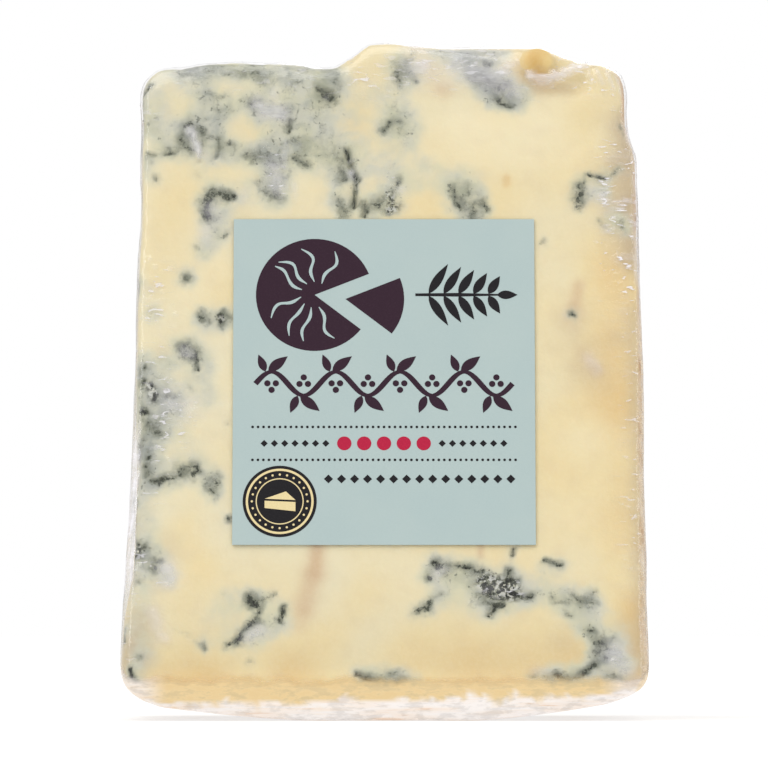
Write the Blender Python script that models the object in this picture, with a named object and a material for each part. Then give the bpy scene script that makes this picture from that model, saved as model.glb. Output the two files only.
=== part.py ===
"""A film-wrapped wedge of blue-veined cheese, standing on its curved rind.

The wedge is a twelfth of a disc cut from a tall wheel.  The wheel's axis runs along X, so the two
cut faces lean in to a blunt nose at the top and the rind is the curved underside.  +Z is up, the
labelled cut face looks towards -Y, and the origin is under the middle of the wedge's box.
The film is drawn tight over the cheese, so the solid goes out to the film's outer surface.
"""

import math

import bmesh
import bpy
from mathutils import Matrix, Vector, noise

MM = 0.001

# Wheel and wedge
WHEEL_RADIUS = 104.0 * MM
WEDGE_ANGLE = math.radians(30.0)
WIDTH_AT_RIND = 77.4 * MM
NOSE_TOP = 97.4 * MM

# Rounding of the pressed and handled edges
CORNER_RADIUS = 4.6 * MM
ARRIS_RADIUS = 2.0 * MM
NOSE_DOME = 3.2 * MM
NOSE_BLEND = 16.0 * MM
NOSE_HALF_THICKNESS = 2.3 * MM
NOSE_SOFTNESS = 1.2 * MM

# Underside: the rind is crowned along the wheel's axis and settles on a small flat
FLAT_DEPTH = 0.36 * MM
CROWN_RISE = 3.2 * MM
CROWN_REACH_LEFT = 41.0 * MM
CROWN_REACH_RIGHT = 32.0 * MM
CROWN_CENTRE = 2.5 * MM

# Ends: both draw in a little towards the nose, the left one in a curve, the right one in a
# straight line with a shoulder
LEFT_TAPER = 2.9 * MM
RIGHT_TAPER = 1.6 * MM
SHOULDER_HEIGHT = 85.5 * MM
SHOULDER_STEP = 1.3 * MM
SHOULDER_SOFTNESS = 1.4 * MM

# Nose outline: a dip on the left, a step up to a long hump, a fall to the right corner
DIP_CENTRE = -9.5 * MM
DIP_DEPTH = 0.9 * MM
DIP_SPREAD = 6.0 * MM
HUMP_START = -5.0 * MM
HUMP_END = 27.3 * MM
HUMP_RISE = 2.8 * MM
HUMP_FALL = 0.9 * MM
HUMP_START_SOFTNESS = 1.8 * MM
HUMP_END_SOFTNESS = 3.2 * MM
CORNER_FALL = 0.9 * MM
CORNER_FALL_START = -28.0 * MM
CORNER_FALL_END = -33.0 * MM
OUTLINE_DEPTH = 30.0 * MM

# Gentle waviness of the wrapped faces, none under the label
WAVE_HEIGHT = 0.35 * MM
WAVE_LENGTH = 15.0 * MM
CRUMBLE_HEIGHT = 0.55 * MM
CRUMBLE_LENGTH = 5.5 * MM
CRUMBLE_DEPTH = 26.0 * MM
CALM_HEIGHT = 6.0 * MM
CALM_SPREAD = 6.0 * MM

# Grid spacing of the modelled surface
STEP_X = 2.7 * MM
STEP_Z = 3.4 * MM
STEP_Y = 7.2 * MM

# Label
LABEL_WIDTH = 44.2 * MM
LABEL_HEIGHT = 49.7 * MM
LABEL_THICKNESS = 0.4 * MM
LABEL_CORNER = 0.4 * MM
LABEL_CORNER_STEPS = 4
LABEL_CENTRE_Z = 49.5 * MM
LABEL_MARGIN = 2.5 * MM
TOUCH_GAP = 0.3 * MM

HALF_ANGLE = WEDGE_ANGLE / 2.0
AXIS_Z = WHEEL_RADIUS - FLAT_DEPTH
THICKNESS_AT_RIND = 2.0 * AXIS_Z * math.tan(HALF_ANGLE)
FACE_NORMAL = Vector((0.0, -math.cos(HALF_ANGLE), math.sin(HALF_ANGLE)))


def clear_scene():
    for item in list(bpy.data.objects):
        bpy.data.objects.remove(item, do_unlink=True)


def make_material(name, color, roughness):
    material = bpy.data.materials.new(name)
    material.use_nodes = True
    shader = material.node_tree.nodes["Principled BSDF"]
    shader.inputs["Base Color"].default_value = (*color, 1.0)
    shader.inputs["Roughness"].default_value = roughness
    shader.inputs["Metallic"].default_value = 0.0
    return material


def make_object(name, bm, material):
    mesh = bpy.data.meshes.new(name)
    bm.to_mesh(mesh)
    bm.free()
    mesh.materials.append(material)
    mesh.shade_smooth()
    mesh.set_sharp_from_angle(angle=math.radians(35.0))
    item = bpy.data.objects.new(name, mesh)
    bpy.context.scene.collection.objects.link(item)
    return item


def smooth_step(low, high, value):
    share = min(1.0, max(0.0, (value - low) / (high - low)))
    return share * share * (3.0 - 2.0 * share)


def bell(centre, spread, value):
    return math.exp(-(((value - centre) / spread) ** 2))


def cut_positions(half, bands, step):
    """Cuts from -half to half: one at each band's depth from both ends, even steps between."""
    inner = half - bands[-1]
    count = math.ceil(2.0 * inner / step)
    low = [band - half for band in bands]
    middle = [inner * (2.0 * index / count - 1.0) for index in range(1, count)]
    high = [half - band for band in reversed(bands)]
    return low + middle + high


def box_surface(cuts):
    """A closed box whose sides are cut into a grid at the positions given along X, Y and Z."""
    bm = bmesh.new()
    verts = {}

    def vert_at(place):
        if place not in verts:
            verts[place] = bm.verts.new([cuts[axis][place[axis]] for axis in range(3)])
        return verts[place]

    for axis in range(3):
        across = (axis + 1) % 3
        along = (axis + 2) % 3
        last = len(cuts[axis]) - 1
        for i in range(len(cuts[across]) - 1):
            for j in range(len(cuts[along]) - 1):
                for level in (0, last):
                    ring = []
                    for step_i, step_j in ((0, 0), (1, 0), (1, 1), (0, 1)):
                        place = [level, level, level]
                        place[across] = i + step_i
                        place[along] = j + step_j
                        ring.append(vert_at(tuple(place)))
                    if level == 0:
                        ring.reverse()
                    bm.faces.new(ring)
    return bm


def clamp(value, limit):
    return min(limit, max(-limit, value))


def rounded_point(point, half):
    """Take a point of a sharp box onto the box with rounded outline corners and arrises."""
    core = Vector(
        (
            clamp(point.x, half.x - CORNER_RADIUS),
            clamp(point.y, half.y - ARRIS_RADIUS),
            clamp(point.z, half.z - CORNER_RADIUS),
        )
    )
    out = Vector((point.x - core.x, 0.0, point.z - core.z))
    reach = CORNER_RADIUS - ARRIS_RADIUS
    if out.length > reach:
        out *= reach / out.length
    inner = core + out
    return inner + (point - inner).normalized() * ARRIS_RADIUS


def rounded_slab():
    """A slab with the wedge's outline, standing on z = 0, its surface cut into a grid."""
    half = Vector((WIDTH_AT_RIND, THICKNESS_AT_RIND, NOSE_TOP)) / 2.0
    arris = (0.0, 0.5 * ARRIS_RADIUS, ARRIS_RADIUS)
    corner = (*arris, 0.5 * (ARRIS_RADIUS + CORNER_RADIUS), CORNER_RADIUS)
    bm = box_surface(
        (
            cut_positions(half.x, corner, STEP_X),
            cut_positions(half.y, arris, STEP_Y),
            cut_positions(half.z, corner, STEP_Z),
        )
    )
    for vert in bm.verts:
        vert.co = rounded_point(vert.co, half) + Vector((0.0, 0.0, half.z))
    return bm


def half_thickness(z):
    """Half the wedge's thickness at a height: straight cut faces, then a blunt nose."""
    straight = (AXIS_Z - z) * math.tan(HALF_ANGLE)
    over = straight - NOSE_HALF_THICKNESS
    return 0.5 * (straight + NOSE_HALF_THICKNESS + math.hypot(over, NOSE_SOFTNESS))


def nose_outline(x):
    """How far the nose stands over or under its even height."""
    dip = DIP_DEPTH * bell(DIP_CENTRE, DIP_SPREAD, x)
    start = smooth_step(HUMP_START - HUMP_START_SOFTNESS, HUMP_START + HUMP_START_SOFTNESS, x)
    end = smooth_step(HUMP_END - HUMP_END_SOFTNESS, HUMP_END + HUMP_END_SOFTNESS, x)
    fall = HUMP_FALL * (x - HUMP_START) / (HUMP_END - HUMP_START)
    corner = CORNER_FALL * smooth_step(-CORNER_FALL_START, -CORNER_FALL_END, -x)
    return (HUMP_RISE - fall) * start * (1.0 - end) - dip - corner


def rind_rise(x, across, z):
    """Height of the curved underside over the flat that it rests on.

    The rind runs straight along the two cut faces and is crowned between them.
    """
    y = across * half_thickness(z)
    arc = WHEEL_RADIUS - math.sqrt(WHEEL_RADIUS**2 - y * y)
    reach = CROWN_REACH_LEFT if x < CROWN_CENTRE else CROWN_REACH_RIGHT
    crown = CROWN_RISE * ((x - CROWN_CENTRE) / reach) ** 2
    return max(0.0, arc + crown * (1.0 - across * across) - FLAT_DEPTH)


def end_inset(x, z):
    """How far an end is drawn in at a height."""
    share = min(1.0, max(0.0, z / NOSE_TOP))
    if x < 0.0:
        return LEFT_TAPER * (1.0 - (1.0 - share) ** 2)
    shoulder = smooth_step(
        SHOULDER_HEIGHT - SHOULDER_SOFTNESS,
        SHOULDER_HEIGHT + SHOULDER_SOFTNESS,
        z,
    )
    return RIGHT_TAPER * share + SHOULDER_STEP * shoulder


def wedge_point(point):
    """Take a point of the slab to its place on the wedge."""
    across = point.y / (THICKNESS_AT_RIND / 2.0)
    near_nose = smooth_step(NOSE_TOP - NOSE_BLEND, NOSE_TOP, point.z)
    dome = NOSE_DOME * (1.0 - math.sqrt(max(0.0, 1.0 - across * across)))
    z = point.z - dome * near_nose
    rise = rind_rise(point.x, across, z)
    z += rise * (1.0 - z / NOSE_TOP)
    z += nose_outline(point.x) * smooth_step(NOSE_TOP - OUTLINE_DEPTH, NOSE_TOP, point.z)
    reach = abs(point.x) / (WIDTH_AT_RIND / 2.0)
    x = point.x - math.copysign(end_inset(point.x, z) * reach, point.x)
    return Vector((x, across * half_thickness(z), z))


def label_calm(point):
    """0 under the label and just round it, 1 well away from it, for the front face."""
    if point.y > 0.0:
        return 1.0
    half_height = 0.5 * LABEL_HEIGHT * math.cos(HALF_ANGLE)
    out_x = abs(point.x) - 0.5 * LABEL_WIDTH - LABEL_MARGIN
    out_z = abs(point.z - LABEL_CENTRE_Z) - half_height - LABEL_MARGIN
    return smooth_step(0.0, CALM_SPREAD, max(out_x, out_z))


def surface_wave(point):
    """Waviness of the wrapped surface, crumblier towards the nose, none at the underside."""
    wave = WAVE_HEIGHT * noise.noise_vector(point / WAVE_LENGTH)
    crumble = CRUMBLE_HEIGHT * noise.noise_vector(point / CRUMBLE_LENGTH)
    crumble *= smooth_step(NOSE_TOP - CRUMBLE_DEPTH, NOSE_TOP, point.z)
    calm = smooth_step(CALM_HEIGHT, CALM_HEIGHT + CALM_SPREAD, point.z)
    return (wave + crumble) * calm * label_calm(point)


def build_cheese_in_film(material):
    bm = rounded_slab()
    for vert in bm.verts:
        vert.co = wedge_point(vert.co)
    for vert in bm.verts:
        vert.co += surface_wave(vert.co)
    bmesh.ops.triangulate(bm, faces=bm.faces)
    return make_object("cheese_in_film", bm, material)


def edges_along_y(bm):
    found = []
    for edge in bm.edges:
        run = edge.verts[1].co - edge.verts[0].co
        if abs(run.y) > 0.99 * run.length:
            found.append(edge)
    return found


def build_label(material):
    """A thin sheet on the front cut face, a touch clear of the film."""
    bm = bmesh.new()
    bmesh.ops.create_cube(bm, size=1.0)
    bmesh.ops.scale(bm, vec=(LABEL_WIDTH, LABEL_THICKNESS, LABEL_HEIGHT), verts=bm.verts)
    bmesh.ops.bevel(
        bm,
        geom=edges_along_y(bm),
        offset=LABEL_CORNER,
        offset_type="OFFSET",
        segments=LABEL_CORNER_STEPS,
        profile=0.5,
        affect="EDGES",
    )
    item = make_object("label", bm, material)
    on_face = Vector((0.0, -half_thickness(LABEL_CENTRE_Z), LABEL_CENTRE_Z))
    centre = on_face + FACE_NORMAL * (TOUCH_GAP + LABEL_THICKNESS / 2.0)
    item.matrix_world = Matrix.Translation(centre) @ Matrix.Rotation(-HALF_ANGLE, 4, "X")
    return item


def main():
    clear_scene()
    paste = make_material("wrapped_cheese", (0.82, 0.67, 0.39), 0.35)
    paper = make_material("label_paper", (0.44, 0.54, 0.53), 0.5)
    build_cheese_in_film(paste)
    build_label(paper)


main()
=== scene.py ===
"""A wedge of blue-veined cheese in stretched clear film, with a printed paper label.

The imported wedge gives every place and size.  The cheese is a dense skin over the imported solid,
with its veins, crumbly pits and cracks pressed in; the film is a second, closed skin round it;
the label is a thin sheet with its print in thin layers.  Lengths below are in millimetres where
a name ends in _MM or a comment says so, and in metres elsewhere.
"""

import math
import random

import bmesh
import bpy
import numpy as np
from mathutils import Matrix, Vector, noise
from mathutils.bvhtree import BVHTree


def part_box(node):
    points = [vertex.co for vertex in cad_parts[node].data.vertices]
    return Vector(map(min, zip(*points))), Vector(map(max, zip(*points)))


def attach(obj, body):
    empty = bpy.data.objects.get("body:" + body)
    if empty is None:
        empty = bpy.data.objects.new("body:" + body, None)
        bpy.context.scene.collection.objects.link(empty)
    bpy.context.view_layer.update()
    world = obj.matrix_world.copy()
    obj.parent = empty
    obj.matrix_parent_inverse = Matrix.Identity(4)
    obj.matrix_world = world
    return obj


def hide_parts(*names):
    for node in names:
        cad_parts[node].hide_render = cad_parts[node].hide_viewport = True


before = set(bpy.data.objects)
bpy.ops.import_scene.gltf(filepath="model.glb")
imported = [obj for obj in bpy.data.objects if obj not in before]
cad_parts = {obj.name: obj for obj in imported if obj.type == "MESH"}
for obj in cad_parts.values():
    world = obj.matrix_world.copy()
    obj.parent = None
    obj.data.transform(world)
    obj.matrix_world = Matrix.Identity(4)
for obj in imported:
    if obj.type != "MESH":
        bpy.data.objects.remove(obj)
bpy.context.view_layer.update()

MM = 0.001

# ---------------------------------------------------------------- driving values

CHEESE_VOXEL = 0.80 * MM
FILM_VOXEL = 0.75 * MM
FILM_GAP_MM = 0.10
SMOOTHING_ROUNDS = 4
NOISE_SEED = 6

# Veins on the labelled face: strength, half width, then points (x, z) along the vein, all in mm.
# Strength 1 is nearly black mould, 0.5 is grey. A few strokes in the top-left set are painted shade, at
# the corner and in a notch.
TOP_LEFT_VEINS_AND_SHADE = (
    # painted shade: a dark stroke where the top-left corner turns away
    (0.7, 0.6, -36.4, 91.8, -35.6, 93, -34.9, 93.7),
    (0.35, 1.2, -30, 95.4, -24, 95.9, -17, 95.2),
    (0.4, 1.1, -29.3, 95.6),
    (0.55, 0.8, -26, 95.9),
    (0.47, 0.7, -24.1, 96.7),
    (0.4, 0.6, -21.3, 95.7),
    (0.55, 1.1, -18.9, 95.4),
    (0.47, 0.5, -17.4, 94.4),
    (0.55, 0.8, -14, 95.2),
    (0.55, 0.6, -12.9, 94.3),
    (0.47, 1.1, -7.4, 95.6),
    # painted shade: the next three strokes darken the notch of a step, where its shadow falls
    (0.7, 0.7, -9.7, 93.3, -8.9, 92.6),
    (0.86, 0.7, -8.6, 92.2, -7.9, 91.7),
    (0.47, 1.1, -8.3, 92, -7.2, 91.4),
    (0.47, 0.9, -7.2, 94.6, -6.4, 93.6),
    (0.7, 0.4, -18.4, 91.5),
    (0.78, 0.6, -19.7, 90.9),
    (0.7, 0.3, -13.6, 90.5),
    (0.86, 0.5, -14, 88.2, -14.2, 86.8),
    (0.78, 0.6, -29.2, 87.6, -28.4, 88),
    (0.7, 0.6, -27.6, 87.4, -26.6, 87.2, -26.5, 86.4),
    (0.86, 0.6, -29.9, 85.7, -29.6, 84.9),
    (0.62, 0.9, -29.2, 84.2, -28.4, 83.6),
    (0.62, 0.5, -27, 85.6, -26.9, 84.4),
    (0.4, 1.2, -29, 86.2),
    (0.62, 0.35, -24.5, 85.9, -24.4, 84.4, -24.9, 82.6),
    (0.62, 0.5, -31.8, 84.3, -31.4, 83.7),
    (0.62, 0.28, -35.3, 83.2, -32.7, 83.1, -30.6, 83.6),
    (0.4, 0.6, -34.6, 82.1),
    (0.55, 0.5, -22.8, 85, -22, 84.6),
    (0.47, 0.35, -26.4, 92.4, -24.8, 91.8, -22.8, 92),
    (0.4, 0.4, -26, 90.8, -24.4, 89.9),
    (0.4, 0.5, -20, 83.5),
    (0.62, 0.7, -18.2, 83.6, -17.4, 82.8),
    (0.62, 0.4, -16.8, 82.4, -16, 82),
    (0.55, 0.4, -15.2, 84.6, -15, 84.1),
    (0.7, 0.5, -13.4, 82.9, -12.4, 82.5),
    (0.62, 0.5, -11.6, 82, -11.2, 81.5),
    (0.4, 0.8, -13, 85.4, -11.8, 84.4),
    (0.47, 0.6, -18.6, 79.4, -18.2, 77.8),
    (0.47, 0.9, -20, 83.4, -19.4, 82.8),
    (0.32, 0.6, -9.9, 83.6),
    (0.55, 0.6, -16.7, 80.3),
    (0.7, 0.5, -33.7, 79.6),
    (0.4, 0.5, -27.4, 80.2),
)
TOP_MIDDLE_VEINS = (
    (0.49, 0.81, 1.7, 96.6, 2.3, 93.4),
    (0.74, 0.4, 2.1, 95.2, 2.2, 94.4),
    (0.41, 0.81, 3.3, 97.2, 4.4, 98.4),
    (0.41, 0.72, 3.6, 95.6),
    (0.66, 0.4, 4.5, 94.6, 4.9, 94.3),
    (0.41, 0.4, 1.1, 90.6),
    (0.82, 0.45, 0.1, 87.2, 0.8, 87.9),
    (0.41, 0.81, -0.6, 87, 0.4, 87.6),
    (0.57, 0.63, 2.3, 87.9),
    (0.49, 0.4, 2.7, 86.6),
    (1.07, 0.24, -5.6, 83.9, -5, 81.8, -4.1, 79.5, -4.1, 77.3, -4.3, 75.5),
    (0.98, 0.28, -2.8, 76, -2.9, 74.1),
    (0.41, 1.26, -7, 84.2, -6.2, 80),
    (0.74, 0.45, -5.9, 81.2, -6, 79.8),
    (0.57, 1.17, -6.3, 76.2, -6, 74.4),
    (0.41, 0.72, -4.5, 75.6, 2.2, 75.5),
    (0.57, 0.72, -0.8, 76.4),
    (0.66, 0.63, 1.8, 79.2, 1.2, 77.4, 1, 74.8),
    (0.66, 0.54, -0.2, 76.6, -1.2, 75.4),
    (0.57, 0.45, 2.2, 79.9),
    (0.25, 0.4, 7.2, 81.2),
    (0.82, 0.4, 10.4, 78.4, 10.5, 76.6, 11.2, 75.2),
    (0.49, 1.08, 11.4, 75.8),
    (0.57, 0.45, 12.4, 79, 12.5, 77.4),
    (0.57, 1.08, 12.8, 75.6, 13, 74),
    (0.49, 0.63, 14.3, 76.4),
    (0.9, 0.45, 14.4, 76, 15.2, 74.8),
)
TOP_RIGHT_VEINS = (
    (1.1, 0.4, 15.1, 96.9, 15.5, 96.7),
    (0.55, 0.4, 12.6, 96.4, 14.2, 95.2),
    (0.74, 0.5, 14.2, 95.3, 15.8, 93.9, 16.9, 92.8),
    (0.46, 1.2, 13, 95, 16, 93.6),
    (0.74, 0.6, 17, 93, 18, 94),
    (0.92, 0.4, 16.9, 91.6, 17.6, 90.9, 18.5, 90.4),
    (0.46, 1.4, 18.4, 92.4),
    (0.69, 0.8, 29.1, 78.6, 28.7, 77.2),
    (0.66, 0.9, 28.7, 77, 28.5, 75.7),
    (0.78, 0.4, 30, 80.1, 31.2, 79.9, 32.8, 79.7),
    (0.83, 0.4, 34, 80.6, 34.6, 81),
    (0.46, 0.6, 31.9, 73.2, 32.6, 72.6),
    (0.46, 0.7, 34.8, 73.4, 35.6, 71.8),
    (0.46, 0.6, 35.2, 87.4, 35.6, 86.2),
    (0.55, 0.6, 23.3, 70.2),
    (0.92, 0.3, 27.3, 59.6, 27.9, 59.3),
)
LEFT_VEINS = (
    (0.8, 0.6, -22.2, 77.1, -23.6, 77.0, -24.8, 77.4),
    (1.0, 0.4, -22.4, 77.0, -23.0, 76.7),
    (0.7, 0.9, -25.2, 77.6, -26.4, 76.2, -26.3, 74.0),
    (1.0, 0.5, -25.6, 76.8, -26.4, 75.4, -26.0, 73.8),
    (0.6, 0.5, -23.1, 71.3),
    (0.55, 1.1, -16.7, 77.5),
    (0.7, 0.7, -15.6, 77.3),
    (0.9, 0.7, -36.0, 70.2),
    (0.4, 0.8, -27.5, 69.4),
    (0.6, 0.8, -29.0, 64.9),
    (0.8, 0.3, -29.2, 64.9, -28.8, 64.7),
    (0.35, 1.0, -34.4, 59.7),
    (1.0, 0.6, -23.8, 59.4, -24.0, 58.0),
    (0.6, 0.6, -22.8, 59.2),
    (0.7, 0.5, -26.9, 59.4, -26.6, 58.4),
    (0.6, 0.4, -25.8, 59.2, -25.7, 58.4),
    (0.62, 1.5, -28.8, 54.0, -28.4, 53.6),
    (0.9, 0.35, -27.8, 53.9, -27.4, 52.6, -27.2, 51.4),
    (0.8, 0.4, -30.0, 54.6, -28.6, 55.0),
    (0.7, 0.6, -35.1, 51.5),
    (0.6, 0.7, -36.2, 51.0),
    (0.9, 0.8, -35.5, 49.5),
    (1.0, 0.5, -34.3, 48.6),
    (1.0, 0.8, -33.5, 47.2),
    (1.3, 0.9, -35.4, 44.9),
    (0.5, 0.4, -31.8, 48.3),
    (0.5, 0.5, -32.0, 47.4, -30.2, 47.4),
    (0.4, 0.5, -32.0, 45.8),
    (0.5, 0.25, -28.6, 48.6, -28.1, 48.3),
    (0.5, 0.25, -30.6, 46.6, -30.2, 46.3),
    (0.6, 1.0, -34.4, 43.2, -33.0, 41.8),
    (0.8, 0.35, -36.4, 31.4),
    (0.6, 0.5, -35.3, 41.0),
    (0.6, 0.4, -36.2, 40.0, -36.2, 38.0),
    (0.6, 0.5, -34.4, 39.6),
    (1.0, 0.6, -34.1, 38.4),
    (0.8, 0.5, -34.6, 37.1),
    (1.1, 0.6, -34.6, 35.9),
    (0.9, 0.6, -33.6, 35.1, -32.6, 34.7, -31.8, 35.2),
    (0.8, 0.4, -31.4, 35.3, -30.6, 35.6),
    (0.8, 0.6, -29.9, 36.6, -29.8, 35.8),
    (0.7, 0.4, -29.6, 36.9, -28.6, 37.1, -27.6, 37.3),
    (1.0, 0.4, -27.3, 37.4, -27.3, 36.2, -28.0, 35.6),
    (0.5, 0.9, -28.7, 36.2),
    (0.5, 1.0, -25.3, 34.9),
    (0.7, 0.4, -24.4, 36.0, -24.3, 34.6, -24.9, 33.6),
    (0.9, 0.35, -25.5, 33.9, -24.9, 33.5),
    (0.4, 0.6, -24.3, 32.2),
    (0.9, 0.5, -22.4, 29.4),
    (0.4, 0.6, -22.8, 43.3),
)
LOW_LEFT_VEINS = (
    (0.8, 0.5, -36.6, 25.6, -35.0, 25.4),
    (0.8, 0.5, -36.4, 24.2, -35.2, 23.8),
    (0.5, 0.9, -35.4, 24.8),
    (1.1, 0.5, -33.5, 23.0, -32.6, 23.2),
    (1.0, 0.4, -33.2, 22.2, -33.4, 21.8),
    (0.6, 0.7, -36.0, 20.4),
    (1.15, 0.65, -19.6, 17.9, -19.0, 17.2),
    (0.6, 0.9, -19.4, 17.6),
    (0.9, 0.4, -18.6, 16.9, -18.1, 16.0, -18.5, 14.8, -19.6, 13.7),
    (0.8, 0.45, -19.6, 13.7, -20.6, 12.8),
    (1.15, 0.6, -20.8, 12.2, -21.5, 11.6),
    (0.8, 0.45, -21.6, 11.5, -22.9, 11.0),
    (0.5, 0.5, -18.0, 17.4, -16.0, 18.2),
    (1.0, 0.35, -14.4, 16.2, -14.7, 15.2, -15.0, 14.4),
    (0.3, 0.4, -30.2, 13.5, -28.0, 12.2, -26.2, 10.9),
    (0.8, 0.4, -26.0, 10.7),
    (0.5, 0.5, -19.5, 8.7),
    (0.3, 0.6, -23.6, 18.3),
    (1.2, 0.5, -36.9, 7.3, -36.7, 6.0),
    (0.8, 0.5, -36.4, 5.6, -36.0, 4.9),
    (0.5, 0.8, -35.4, 9.0),
    (1.0, 0.4, -38.0, 13.0, -38.1, 11.8),
    (1.2, 0.35, -3.8, 6.8, -2.0, 6.0),
    (0.8, 0.6, -1.8, 6.0, -0.2, 5.3),
    (0.45, 1.1, -0.6, 5.6, 1.0, 5.6),
    (0.6, 0.5, 0.8, 7.0, 1.8, 7.1),
    (0.8, 0.4, 1.6, 5.4, 2.6, 5.2),
    (0.45, 0.8, 3.0, 5.8),
)
LOW_RIGHT_VEINS = (
    (1.1, 0.6, 7.5, 23.1, 8.2, 22.3),
    (0.7, 0.8, 7.9, 22.6),
    (0.9, 0.36, 8.6, 22.7, 11.0, 22.5, 13.3, 22.1),
    (1.1, 0.26, 9.6, 22.6, 12.4, 22.3),
    (1.0, 0.45, 6.3, 20.9, 6.6, 20.6),
    (0.5, 0.6, 9.0, 21.2),
    (0.9, 0.6, 13.6, 21.6, 14.4, 21.8),
    (1.0, 0.45, 13.8, 20.4, 15.6, 20.8, 17.0, 20.2),
    (1.0, 0.45, 14.2, 18.6, 15.4, 18.2, 17.2, 18.0, 18.6, 18.6),
    (1.0, 0.4, 17.0, 20.2, 18.2, 20.6, 19.4, 20.4),
    (0.9, 0.4, 18.0, 20.4, 18.3, 22.2),
    (0.9, 0.4, 15.4, 19.8, 15.8, 18.2),
    (0.9, 0.4, 17.2, 19.8, 17.0, 18.2),
    (0.9, 0.5, 14.6, 17.4, 16.2, 16.8, 17.4, 17.0),
    (1.0, 0.3, 16.2, 16.6, 15.6, 15.8, 15.3, 15.2),
    (1.0, 0.5, 18.8, 18.6, 20.2, 18.2, 21.2, 18.0),
    (0.6, 1.4, 16.0, 19.4, 18.0, 19.2),
    (0.7, 0.25, 18.9, 25.2, 18.7, 24.2),
    (0.6, 0.5, 8.2, 18.4),
    (0.8, 0.6, 7.0, 17.6, 6.2, 16.6),
    (0.9, 0.6, 6.2, 16.2, 4.8, 15.7),
    (1.0, 0.28, 23.4, 22.9, 24.6, 22.9, 26.0, 22.7),
    (0.5, 0.30, 24.8, 17.2, 26.8, 17.0),
    (0.8, 0.5, 28.4, 17.5, 29.0, 17.4),
    (0.6, 0.4, 27.3, 18.6, 28.6, 17.6),
    (0.6, 0.4, 29.0, 17.6, 30.8, 18.8),
    (0.6, 0.4, 28.8, 17.3, 30.8, 17.0),
    (0.6, 0.3, 24.3, 18.0),
    (0.55, 0.35, 26.3, 15.3, 27.3, 15.1),
    (0.8, 0.4, 29.5, 13.2, 30.5, 13.1),
    (0.9, 0.5, 30.7, 11.6, 32.2, 11.3),
    (0.8, 0.5, 32.3, 11.0, 32.7, 10.2),
    (0.6, 0.9, 30.6, 10.0, 31.6, 10.6),
    (0.9, 0.35, 31.9, 9.2, 32.3, 9.0),
    (1.0, 0.4, 30.6, 8.4, 30.0, 7.6, 28.8, 7.0),
    (0.5, 0.8, 30.6, 8.8, 29.6, 7.4),
    (0.7, 0.4, 28.4, 6.6, 26.6, 6.3),
    (1.1, 0.4, 25.6, 6.1, 24.9, 6.6),
    (0.5, 0.5, 21.6, 6.5),
    (0.5, 0.5, 32.6, 6.6, 34.2, 6.0),
    (0.35, 0.9, 32.8, 6.6),
)
FACE_VEINS = (
    TOP_LEFT_VEINS_AND_SHADE
    + TOP_MIDDLE_VEINS
    + TOP_RIGHT_VEINS
    + LEFT_VEINS
    + LOW_LEFT_VEINS
    + LOW_RIGHT_VEINS
)

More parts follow.
